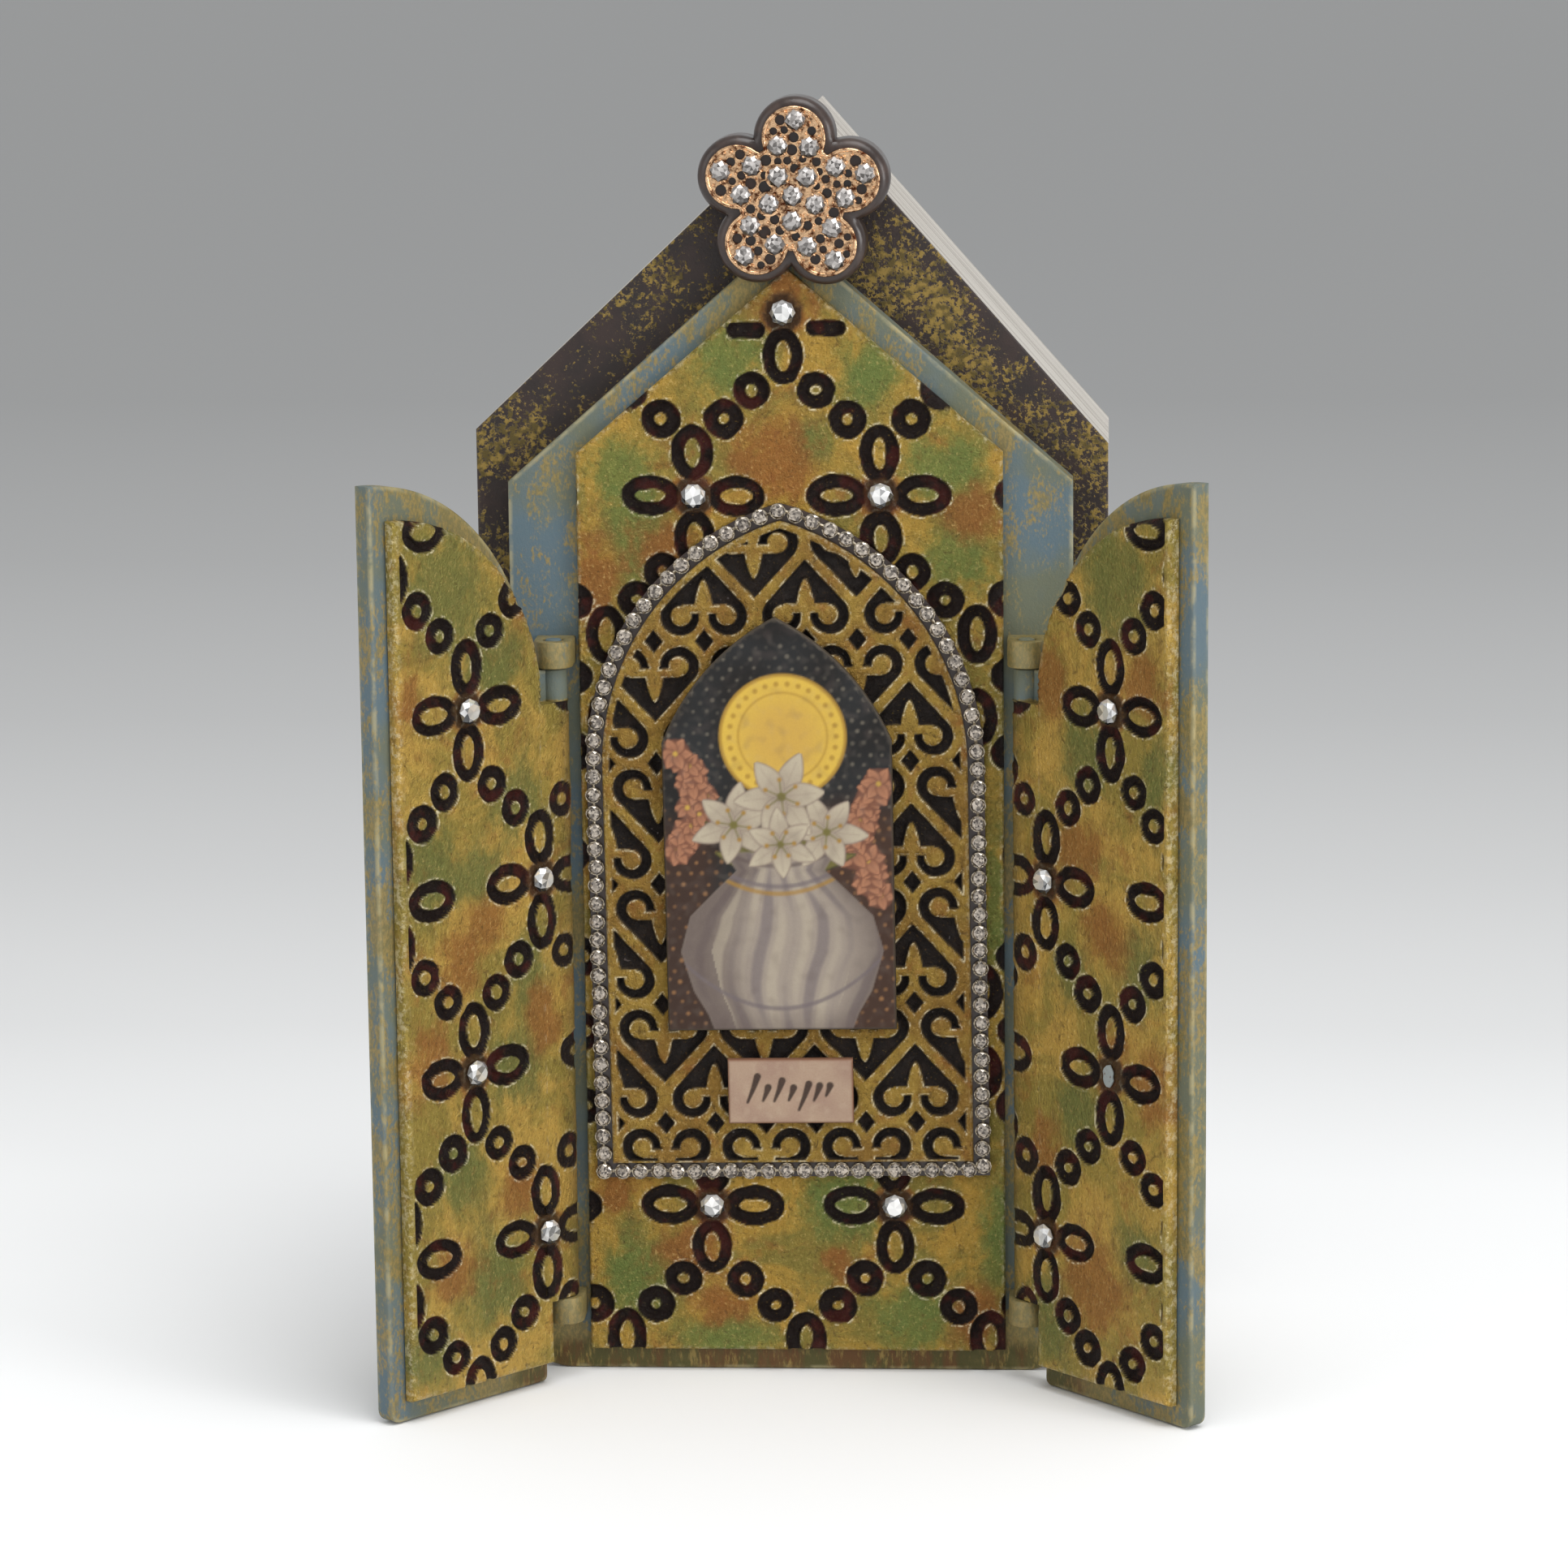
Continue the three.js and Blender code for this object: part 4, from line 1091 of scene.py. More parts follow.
@dataclass(frozen=True)
class LilyPainting:
    """Lilies in a tall pale urn before a golden sun, painted softly like an old wall painting."""

    dusk: Shade = shade(0x1A1817)
    slate: Shade = shade(0x282A2C)
    earth: Shade = shade(0x3E2A20)
    chalk: Shade = shade(0x968A7E)
    ash: Shade = shade(0x6A6062)
    smoke: Shade = shade(0x5B4E4A)
    cream: Shade = shade(0xB4A892)
    blush: Shade = shade(0x86766A)
    sun: Shade = shade(0xCDAA46)
    sun_rim: Shade = shade(0x9A752E)
    coral: Shade = shade(0xAA7658)
    coral_deep: Shade = shade(0x6E4636)
    rust: Shade = shade(0xA8794C)
    olive: Shade = shade(0x6C6434)
    star: Shade = shade(0x7C7466)
    sun_at: tuple[float, float] = (1.6, 74.0)
    sun_radius: float = 15.6

    def paint(self, x: np.ndarray, z: np.ndarray) -> np.ndarray:
        """Returns the painting's colour at each place, with (0, 0) at the middle of the sheet's foot."""
        rng = random.Random(19)
        art = Canvas(x, z, self.dusk, blur=0.55)
        art.coat(0.7 * smooth(-0.3, 0.5, ripple(x, z, 14, 7)), self.slate)
        art.coat(smooth(2, 14, x + 2 * ripple(x, z, 6, 9)) * smooth(62, 50, z), self.earth)
        art.coat(smooth(-12, -20, x) * smooth(58, 48, z) * 0.8, self.earth)
        for row in range(36):
            for column in range(19):
                u = -28 + column * 3.1 + (row % 2) * 1.55 + rng.uniform(-0.4, 0.4)
                v = 2 + row * 2.7 + rng.uniform(-0.4, 0.4)
                tone = self.rust if v < 56 else self.star
                art.disc(u, v, rng.uniform(0.3, 0.55), tone, rng.uniform(0.15, 0.6))
        self._blossoms(art, rng)
        self._sun(art)
        self._leaves(art, rng)
        self._urn(art)
        for lily in ((-11, 52, 11, 0.35), (12, 50, 10.5, 0.95), (1, 59, 12, 0.1), (0.5, 47, 9.5, 0.6)):
            self._lily(art, *lily)
        art.coat(0.22 * smooth(0, 0.8, ripple(x, z, 3, 21)), self.smoke)
        art.coat(0.08 * smooth(0, 0.8, ripple(x, z, 2, 22)), self.chalk)
        return art.paint

    def _blossoms(self, art: Canvas, rng: random.Random) -> None:
        """Paints the two banks of coral blossoms, one on each side."""
        for side, low, high in ((-1, 46, 70), (1, 34, 62)):
            for i in range(17):
                t = i / 16
                u = side * (25 - 8 * math.sin(math.pi * t) * rng.uniform(0.3, 1.2))
                v = low + (high - low) * t
                size = rng.uniform(2.6, 4.2)
                art.disc(u, v, size, self.coral_deep, 0.75)
                for k in range(6):
                    angle = 2 * math.pi * k / 6 + rng.uniform(-0.3, 0.3)
                    tones = (self.coral_deep, self.coral)
                    art.petal(u, v, angle, size * 1.15, size * 0.36, tones)
                art.disc(u, v, 0.6, self.sun, 0.7)

    def _sun(self, art: Canvas) -> None:
        """Paints the golden disc with its beaded rim."""
        sx, sz = self.sun_at
        reach = np.hypot(art.x - sx, art.z - sz)
        art.fill(reach - self.sun_radius, self.sun)
        art.coat(0.35 * smooth(self.sun_radius, 4, reach) * (reach < self.sun_radius), self.rust)
        art.ring(sx, sz, self.sun_radius - 0.2, 0.4, self.sun_rim, 0.8)
        art.ring(sx, sz, self.sun_radius - 4.6, 0.25, self.sun_rim, 0.6)
        for i in range(30):
            a = 2 * math.pi * i / 30
            r = self.sun_radius - 2.4
            art.disc(sx + r * math.cos(a), sz + r * math.sin(a), 0.62, self.sun_rim, 0.75)

    def _leaves(self, art: Canvas, rng: random.Random) -> None:
        """Paints the stems and long leaves."""
        for end_x, end_z, bend in ((-10, 52, -3), (11, 50, 4), (0, 59, 1), (3, 46, 1)):
            way = []
            for t in (0, 0.3, 0.6, 1):
                way.append((end_x * t + bend * math.sin(math.pi * t) * 0.6, 38 + (end_z - 38) * t))
            art.stroke(way, (0.6, 0.4), self.olive, 0.9)
        for i in range(11):
            angle = math.radians(20 + 140 * i / 10 + rng.uniform(-6, 6))
            tones = (shade(0x3C3A20), self.olive)
            art.petal(rng.uniform(-3, 3), 40, angle, rng.uniform(15, 23), 1.9, tones)

    def _urn(self, art: Canvas) -> None:
        """Paints the pale urn: a wide pleated body, a neck and a turned rim."""
        levels = (0, 4, 10, 20, 29, 36, 40.5, 43, 45)
        halves = (17, 18.5, 22, 25, 22.5, 15.5, 10.8, 12.4, 13.4)
        half = np.interp(art.z, levels, halves)
        gap = np.maximum(np.abs(art.x - 0.4) - half, art.z - 45)
        body = np.clip(0.5 - gap / 0.7, 0, 1)
        art.coat(body, self.chalk)
        across = (art.x - 0.4) / half
        folds = np.sin(across * 21 + 1.4 * np.sin(art.z / 6)) + 0.6 * np.sin(across * 9 - art.z / 9)
        art.coat(body * 0.65 * smooth(0.1, 1.3, folds), self.ash)
        art.coat(body * 0.8 * smooth(0.35, 1.0, np.abs(across - 0.15)), self.smoke)
        art.coat(body * 0.4 * smooth(-0.1, -1.2, folds) * (np.abs(across) < 0.7), self.cream)
        for level, tone in ((34.6, self.sun_rim), (36.4, self.ash), (5.5, self.ash), (41.6, self.smoke)):
            away = np.abs(art.z - level - 0.02 * art.x**2) - 0.55
            art.coat(body * np.clip(0.5 - away / 0.6, 0, 1) * 0.75, tone)
        art.coat(body * smooth(7, 0, art.z) * 0.5, self.smoke)

    def _lily(self, art: Canvas, x: float, z: float, size: float, turn: float) -> None:
        """Paints a lily of six petals with its stamens."""
        for i in (1, 3, 5, 0, 2, 4):
            angle = turn + math.pi * i / 3
            art.petal(x, z, angle, size * (1.0 if i % 2 else 0.9), size * 0.24, (self.blush, self.cream))
        for i in range(6):
            angle = turn + math.pi * (i + 0.5) / 3
            tip = (x + size * 0.36 * math.cos(angle), z + size * 0.36 * math.sin(angle))
            art.stroke([(x, z), tip], (0.25, 0.2), self.olive, 0.8)
            art.disc(*tip, 0.55, self.sun_rim, 0.9)
        art.disc(x, z, size * 0.09, self.olive)


# ---------------------------------------------------------------- sub-assemblies


class Workshop:
    """The finishes, each made once and shared by the pieces."""

    def __init__(self) -> None:
        """Mixes every finish."""
        self.clay = GildedClay("gilded_clay").material()
        self.wing_clay = GildedClay("gilded_wing_clay", gold=shade(0xC09C4A), olive=shade(0x96843C),
                                    green=shade(0x66703A), umber=shade(0x94602C), streak=1.5).material()
        self.lattice = GildedClay("gilded_lattice", gold=shade(0xA08238), olive=shade(0x8C6A2C),
                                  glaze_and_shade=shade(0x211B18), wine=shade(0x2C231E)).material()
        self.blue = SpongedPaint("sponged_blue").material()
        self.speckle = SpeckledPaint("speckled_brown").material()
        self.pages = PageEdges("page_edges").material()
        self.stone = CutStone("cut_stone").material()
        self.small_stone = CutStone("small_cut_stone", shade(0xBCB0A2), shade(0x2E241E)).material()
        self.brooch_stone = CutStone("brooch_cut_stone", shade(0xC6C0BC), shade(0x38322E)).material()
        # Resin behind the brooch's holes, darker than the backing to paint the shade inside them.
        self.ground = GlossyResin("brown_ground", shade(0x1C0E08), shade(0x2E180C)).material()
        self.silver = Metal("silver_cups", shade(0xB0A592), shade(0x4E443A), 0.28, 0.9).material()
        self.rose_gold = Metal("rose_gold", shade(0xE8BE94), shade(0x4E2614), 0.2, 1.6).material()
        self.resin = GlossyResin("dark_resin").material()
        self.picture = PaintedSheet("varnished_picture", shade(0x4A4238), 0.5, coat=0.06).material()
        self.card = PaintedSheet("pink_card", shade(0x7C5844), 0.78, fibre=0.1, mottle=0.12).material()
        self.glue = DriedGlue("dried_glue").material()


@dataclass
class BackBlock:
    """The thick gabled block: speckled faces with pale layered sides between them."""

    shop: Workshop
    softness: float = 0.6

    def build(self) -> None:
        """Builds the block from the outline of its CAD node."""
        low, high = UPRIGHT.box("back_block")
        corners = UPRIGHT.corners("back_block")
        left = max(z for x, _, z in corners if x < low.x + 0.05)
        right = max(z for x, _, z in corners if x > high.x - 0.05)
        crest = max(corners, key=lambda row: row[2])
        outline = [(low.x, low.z), (high.x, low.z), (high.x, right + 0.3), (crest[0], high.z),
                   (low.x, left + 0.3)]
        bm = slab(outline, high.y, low.y, self.softness, border=2.2)
        for face in bm.faces:
            layered = abs(face.normal.y) < 0.5 and face.normal.z > -0.5
            face.material_index = 1 if layered else 0
        finishes = [self.shop.speckle, self.shop.pages]
        add_piece("speckled_block", bm, finishes, UPRIGHT, "root", ["back_block"])


@dataclass
class CentreBoard:
    """The blue gabled board and its four hinge eyes."""

    shop: Workshop
    corner: float = 12.0
    softness: float = 0.5
    eye_bore: float = 2.4
    spill: tuple[float, float, float] = (5, 10, 18)

    def build(self) -> None:
        """Builds the board and the eyes."""
        low, high = UPRIGHT.box("centre_board")
        corners = UPRIGHT.corners("centre_board")
        eave = max(z for x, _, z in corners if x > high.x - 0.05)
        r = self.corner
        foot = arc((high.x - r, low.z + r), (r, r), -90, 0, 12)
        outline = [*foot, (high.x, eave + 0.2), (0, high.z), (low.x, eave + 0.2), *mirrored(foot, -1)]
        bm = slab(outline, high.y, low.y, self.softness, border=0.7)
        for level in self.spill:
            slice_at(bm, 2, level)
        ends = (self.spill[0], self.spill[-1])
        mark(bm, "gilding", lambda co: float(np.interp(co.z, ends, (0.5, 0))) if co.y < high.y - 1 else 0.0)
        add_piece("blue_board", bm, [self.shop.blue], UPRIGHT, "root", ["centre_board"])
        for side in ("left", "right"):
            for level in ("bottom", "top"):
                self._eye(f"hinge_eye_{side}_{level}")

    def _eye(self, node: str) -> None:
        """Builds one eye: a round nose with a bore, straight back to the board."""
        low, high = UPRIGHT.box(node)
        radius = (high.x - low.x) / 2
        cx, cy = (low.x + high.x) / 2, low.y + radius
        nose = arc((cx, cy), (radius, radius), 180, 360, 24)
        rim = [(cx + radius, high.y), (cx - radius, high.y), *nose]
        bore = arc((cx, cy), (self.eye_bore, self.eye_bore), 0, 345, 23)
        bm = pierced([[(x, y, low.z) for x, y in loop] for loop in (rim, bore)], (0, 0, high.z - low.z))
        bmesh.ops.dissolve_limit(bm, angle_limit=0.02, verts=bm.verts, edges=bm.edges)
        level = [e for e in bm.edges if abs(e.verts[0].co.z - e.verts[1].co.z) < 1e-6]
        soften(bm, [e for e in level if e.calc_face_angle(0) > 1], 0.5, 2)
        mark(bm, "gilding", lambda _: 0.3)
        mark(bm, "edge", lambda _: 0.4)
        add_piece(f"{node}_painted", bm, [self.shop.blue], UPRIGHT, "root", [node])


@dataclass
class Jewels:
    """The large crystals, each on its own flower."""

    shop: Workshop
    placement: Placement
    body: str
    cut: StoneCut = StoneCut(3.2, 2.0, table=0.62)

    def build(self, nodes: Sequence[str]) -> list[tuple[float, float]]:
        """Builds a crystal for each node and returns their places."""
        spots = []
        for i, node in enumerate(nodes):
            centre = self.placement.middle(node)
            _, high = self.placement.box(node)
            bm = bmesh.new()
            self.cut.add(bm, centre.x, high.y, centre.z, 0.4 * i)
            self.cut.finish(bm, random.Random(i))
            add_piece(f"{node}_cut", bm, [self.shop.stone], self.placement, self.body, [node],
                      crease=0)
            spots.append((centre.x, centre.z))
        return spots


@dataclass
class CentrePanel:
    """The gilded gabled panel with its pressed flowers and five crystals."""

    shop: Workshop
    cover_side: float = 2.0
    cover_foot: float = 2.0
    cover_head: float = 4.0
    cover_shoulder: float = 0.66
    greens: tuple[Stain, ...] = stains(
        (-42, 229, 8), (-38, 211, 7, 1.6), (-13, 256, 10), (21, 252, 8), (6, 236, 6), (39, 229, 10),
        (41, 207, 8), (-41, 25, 8, 1.5), (-16, 9, 13, 0.5), (12, 44, 11), (30, 15, 10), (51, 36, 5, 3),
        (50, 120, 3, 6),
    )
    umbers: tuple[Stain, ...] = stains(
        (-3, 232, 11), (-31, 209, 8), (44, 219, 7), (-1, 272, 8), (-48, 201, 6, 2), (-18, 16, 8, 0.6),
        (-27, 31, 9, 0.8), (45, 15, 7), (11, 28, 4), (-45, 47, 6),
    )

    def build(self) -> None:
        """Builds the panel, then its crystals."""
        low, high = UPRIGHT.box("centre_panel")
        eave = max(z for x, _, z in UPRIGHT.corners("centre_panel") if x > high.x - 0.05)
        outline = [(low.x, low.z), (high.x, low.z), (high.x, eave), (0, high.z), (low.x, eave)]
        names = ("top", "upper_left", "upper_right", "lower_left", "lower_right")
        spots = Jewels(self.shop, UPRIGHT, "root").build([f"crystal_centre_{name}" for name in names])
        (top_x, top_z), (left_x, left_z), (right_x, _), *_ = spots
        half_z = top_z - left_z
        lean = ((left_x + right_x) / 2 - top_x) / half_z
        origin = (top_x + 2 * half_z * lean, top_z - 2 * half_z)
        bars = ((top_x - 11.8, top_x - 6.3, top_z - 4.2), (top_x + 7.6, top_x + 13.4, top_z - 3.8))
        lattice = FlowerLattice(origin, ((right_x - left_x) / 2, half_z), spots, self.greens, self.umbers,
                                outline, self._under_plaque, seed=11, lean=lean, ceiling=top_z - 2,
                                bars=bars)
        bm = ReliefPlate(outline, high.y, low.y, lattice.carve).mesh()
        add_piece("gilded_centre_relief", bm, [self.shop.clay], UPRIGHT, "root", ["centre_panel"],
                  crease=70)

    def _under_plaque(self, x: np.ndarray, z: np.ndarray) -> np.ndarray:
        """Tells which places the plaque covers."""
        low, high = UPRIGHT.box("arch_plaque")
        half = (high.x - low.x) / 2 - self.cover_side
        middle = (low.x + high.x) / 2
        shoulder = low.z + (high.z - low.z) * self.cover_shoulder
        slant = (high.z - self.cover_head - shoulder) * (1 - (np.abs(x - middle) / half) ** 2)
        under = z < shoulder + np.maximum(slant, 0)
        return (np.abs(x - middle) < half) & (z > low.z + self.cover_foot) & under


@dataclass
class Shrine:
    """The leaning stack in the middle: plaque, chain of stones, picture and small tile."""

    shop: Workshop
    stack: Placement
    arch: PointedArch = PointedArch(45.2, 0, 100.5, 19)
    picture: PointedArch = PointedArch(28.4, 34.7, 107.3, 27.2, -1.7, 22.5)
    cover_inset: float = 1.5
    chain_offset: float = 2.4
    chain_pitch: float = 4.6
    chain_wander: float = 0.14
    # Size of the dark strip under the chain, which paints the shade between the stones.
    shade_band_margin: float = 1.7
    shade_band_height: float = 0.55
    stone: StoneCut = StoneCut(1.85, 0.6, table=0.42, star=0.05, table_light=(1.0, 0.7, 0.4, 0.1))
    cup_radius: float = 2.02
    cup_height: float = 1.4
    link_reach: float = 2.3
    link_radius: float = 0.42
    link_length: float = 1.9
    claw_reach: float = 1.75
    claw_radius: float = 0.38
    strokes: tuple[tuple[float, float, float], ...] = (
        (-9.4, 0.6, 3.3), (-6.2, -0.6, 1.7), (-3.0, 0.2, 2.6), (0.2, -0.6, 1.6), (3.4, -1.4, 3.3),
        (6.6, -0.4, 1.9), (9.4, 0.2, 1.3),
    )

    def build(self) -> None:
        """Builds the four layers."""
        self._plaque()
        self._chain()
        self._picture()
        self._tile()

    def _covered(self, x: np.ndarray, z: np.ndarray) -> np.ndarray:
        """Tells which places of the plaque lie well under the picture or the small tile."""
        p, inset = self.picture, self.cover_inset
        radius = math.hypot(p.half_width + p.shift, p.drop)
        reach = np.sqrt(np.maximum(radius**2 - (z - p.springing + p.drop) ** 2, 0)) - p.shift
        half = np.where(z > p.springing, reach, p.half_width) - inset
        under = (np.abs(x - p.centre) < half) & (z > p.bottom + inset)
        low, high = self.stack.box("word_tile")
        tile = (x > low.x + inset) & (x < high.x - inset) & (z > low.z + inset) & (z < high.z - inset)
        return under | tile

    def _plaque(self) -> None:
        """Builds the scrollwork plaque."""
        low, high = self.stack.box("arch_plaque")
        outline = self.arch.outline()
        rim = PointedArch(self.arch.half_width, -1.1, self.arch.springing, self.arch.shift).outline()
        scroll = Scrollwork(rim, self._covered)
        bm = ReliefPlate(outline, high.y, low.y, scroll.carve, cell=1.4, roll=0.5).mesh()
        add_piece("scrollwork_plaque", bm, [self.shop.lattice], self.stack, "root",
                  ["arch_plaque"], crease=75)

    def _chain(self) -> None:
        """Builds the dark band, with painted shade between the stones, then the cups with their links and
        prongs, and the stones.
        """
        back = self.stack.box("stone_chain")[1].y
        # A dark strip under the chain: painted shade in the gaps between the stones and along the plaque's
        # edge, partly also the brown band they sit on.
        outline = self.arch.outline(self.chain_offset + self.shade_band_margin)
        backing = slab(outline, back, back - self.shade_band_height, 0.2, segments=2, border=0.3)
        add_piece("chain_backing", backing, [self.shop.resin], self.stack, "root")
        rng = random.Random(5)
        cups, stones = bmesh.new(), bmesh.new()
        wander, reach = self.chain_wander, self.link_reach
        for x, z, way in spaced(self.arch.outline(self.chain_offset), self.chain_pitch):
            x, z = x + rng.uniform(-wander, wander), z + rng.uniform(-wander, wander)
            turn = -way + rng.uniform(-0.3, 0.3)
            at = Matrix.Translation((x, back - self.cup_height / 2, z))
            bmesh.ops.create_cone(cups, cap_ends=True, segments=12, radius1=self.cup_radius - 0.15,
                                  radius2=self.cup_radius, depth=self.cup_height, matrix=at @ FACING)
            ahead = Matrix.Translation((math.cos(way) * reach, 0.1, math.sin(way) * reach))
            along = Matrix.Rotation(-way, 4, "Y") @ Matrix.Rotation(math.radians(90), 4, "Y")
            bmesh.ops.create_cone(cups, cap_ends=True, segments=6, radius1=self.link_radius,
                                  radius2=self.link_radius, depth=self.link_length,
                                  matrix=at @ ahead @ along)
            for corner in range(4):
                angle = turn + math.pi * (corner + 0.5) / 2
                u, v = self.claw_reach * math.cos(angle), self.claw_reach * math.sin(angle)
                ball(cups, Vector((x + u, back - self.cup_height - 0.2, z + v)), self.claw_radius)
            self.stone.add(stones, x, back - self.cup_height + 0.15, z, turn)
        self.stone.finish(stones, rng)
        add_piece("chain_cups", cups, [self.shop.silver], self.stack, "root",
                  ["stone_chain"])
        add_piece("chain_stones", stones, [self.shop.small_stone], self.stack, "root",
                  crease=0)

    def _picture(self) -> None:
        """Builds the picture tile."""
        low, high = self.stack.box("picture_tile")
        middle, foot = (low.x + high.x) / 2, low.z
        art = LilyPainting()

        def carve(x: np.ndarray, z: np.ndarray, size: float) -> Carving:
            """Returns the flat face and its paint."""
            flat = np.zeros(len(x))
            if size:
                return Carving(flat, flat > 1)
            return Carving(flat + 0.04 * ripple(x, z, 20, 3), flat > 1, {}, art.paint(x - middle, z - foot))

        plate = ReliefPlate(self.picture.outline(), high.y, low.y, carve, cell=1.4, roll=0.35,
                            everywhere=True)
        add_piece("painted_picture", plate.mesh(), [self.shop.picture], self.stack, "root",
                  ["picture_tile"], crease=60)

    def _tile(self) -> None:
        """Builds the small tile with its row of brush strokes."""
        low, high = self.stack.box("word_tile")
        cx, cz = (low.x + high.x) / 2, (low.z + high.z) / 2
        outline = [(low.x, low.z), (high.x, low.z), (high.x, high.z), (low.x, high.z)]
        ink = shade(0x2B2220)

        def carve(x: np.ndarray, z: np.ndarray, size: float) -> Carving:
            """Returns the flat face and its strokes."""
            flat = np.zeros(len(x))
            if size:
                return Carving(flat, flat > 1)
            art = Canvas(x - cx, z - cz, shade(0xA68E7A), blur=0.3)
            art.coat(0.6 * smooth(-0.4, 0.6, ripple(x, z, 7, 2)), shade(0x94786A))
            art.coat(0.35 * smooth(0.0, 0.7, ripple(x, z, 2, 4)), shade(0xB29E88))
            for u, lift, tall in self.strokes:
                way = [(u - 0.42 * tall, lift - tall), (u + 0.1, lift + 0.2),
                       (u + 0.36 * tall, lift + tall)]
                art.stroke(way, (0.34, 0.9), ink, 0.92)
            return Carving(flat, flat > 1, {}, art.paint)

        plate = ReliefPlate(outline, high.y, low.y, carve, cell=1.2, roll=0.35, everywhere=True)
        add_piece("brushed_tile", plate.mesh(), [self.shop.card], self.stack, "root",
                  ["word_tile"], crease=60)


@dataclass
class Brooch:
    """A pierced rose-gold flower set with stones, on a dark domed flower."""

    shop: Workshop
    petal_reach: float = 14.1
    petal_radius: float = 7.6
    web: float = 13.0
    rim: float = 2.4
    turn: float = -2.0
    plate: float = 1.1
    raised: float = 0.8
    bead: float = 0.5
    holes: tuple[float, float] = (0.95, 1.6)
    hole_gap: float = 0.34
    hole_tries: int = 7000
    grains: tuple[float, float] = (0.38, 0.5)
    grain_gap: float = 1.35
    grain_tries: int = 5000
    claw: float = 0.42
    stone_reach: float = 4.4
    inner_reach: float = 5.9
    steps: int = 200
    stone: StoneCut = StoneCut(2.6, 1.3, table=0.45, star=0.06, table_light=(1.0, 0.7, 0.45, 0.15))

    def flower(self, reach: float, radius: float, web: float, turn: float) -> Points:
        """Gives a flower's outline about its own middle.

        Args:
            reach: How far its five petals' centres lie from the middle.
            radius: The petals' radius.
            web: The radius of the disc that joins them.
            turn: How far the first petal is turned from the vertical, in degrees.

        Returns:
            The outline.
        """
        points = []
        for i in range(self.steps):
            angle = 2 * math.pi * i / self.steps
            edge = web
            for k in range(5):
                off = angle - math.radians(90 + turn + 72 * k)
                side = reach * math.sin(off)
                if abs(side) < radius and math.cos(off) > 0:
                    edge = max(edge, reach * math.cos(off) + math.sqrt(radius**2 - side**2))
            points.append((edge * math.cos(angle), edge * math.sin(angle)))
        return points

    def outline(self, grow: float = 0.0) -> Points:
        """Returns the plate's outline, grown by grow."""
        return self.flower(self.petal_reach, self.petal_radius + grow, self.web + grow, self.turn)

    def stones(self, rng: random.Random) -> list[tuple[float, float, float]]:
        """Returns each stone's place and how far it stands forward."""
        spots = []
        for k in range(5):
            petal = math.radians(90 + self.turn + 72 * k)
            px, pz = self.petal_reach * math.cos(petal), self.petal_reach * math.sin(petal)
            for off in (0, 118, -118):
                angle = petal + math.radians(off + rng.uniform(-6, 6))
                u, v = self.stone_reach * math.cos(angle), self.stone_reach * math.sin(angle)
                spots.append((px + u, pz + v, 0.0))
            angle = math.radians(125 - 72 * k)
            u, v = self.inner_reach * math.cos(angle), self.inner_reach * math.sin(angle)
            spots.append((u, v, self.raised))
        return [*spots, (0.1, 0.2, self.raised)]

    def build(self) -> None:
        """Builds the backing, the darkened ground behind the holes, the pierced plate, the raised inner
        flower, the bead, the grains, and the stones in their settings.
        """
        low, high = UPRIGHT.box("brooch_face")
        base_low, base_high = UPRIGHT.box("brooch_base")
        cx = (low.x + high.x) / 2
        cz = high.z - self.petal_reach * math.cos(math.radians(self.turn)) - self.petal_radius
        at = Placement(Vector((cx, 0, cz)))
        rng = random.Random(3)
        backing = slab(self.outline(self.rim - 0.1), base_high.y, base_low.y, 2.4, segments=6, border=1.0)
        add_piece("brooch_backing", backing, [self.shop.resin], at, "root", ["brooch_base"],
                  crease=60)
        spots = self.stones(rng)
        back = base_low.y - 0.1
        front = back - self.plate
        # A dark resin ground under the plate: the backing seen through the holes, made darker as painted
        # shade in them.
        ground = slab(self.outline(-0.5), back + 0.08, back - 0.15, 0.1, segments=1, border=0.2)
        add_piece("brooch_ground", ground, [self.shop.ground], at, "root")
        self._pierced(at, back, front, spots)
        petals = self.flower(self.inner_reach, 3.1, 5.0, 35)
        inner = slab(petals, front + 0.1, front - self.raised, 0.3, segments=2, border=0.3)
        add_piece("brooch_inner_flower", inner, [self.shop.rose_gold], at, "root")
        self._bead(at, front)
        bm = bmesh.new()
        settings = bmesh.new()
        for x, z, ahead in spots:
            self.stone.add(bm, x, front - ahead + 0.1, z, rng.uniform(0, 1))
            self._setting(settings, x, front - ahead, z, rng.uniform(0, 1.5))
        self.stone.finish(bm, rng)
        add_piece("brooch_stones", bm, [self.shop.brooch_stone], at, "root", crease=0)
        add_piece("brooch_settings", settings, [self.shop.rose_gold], at, "root")

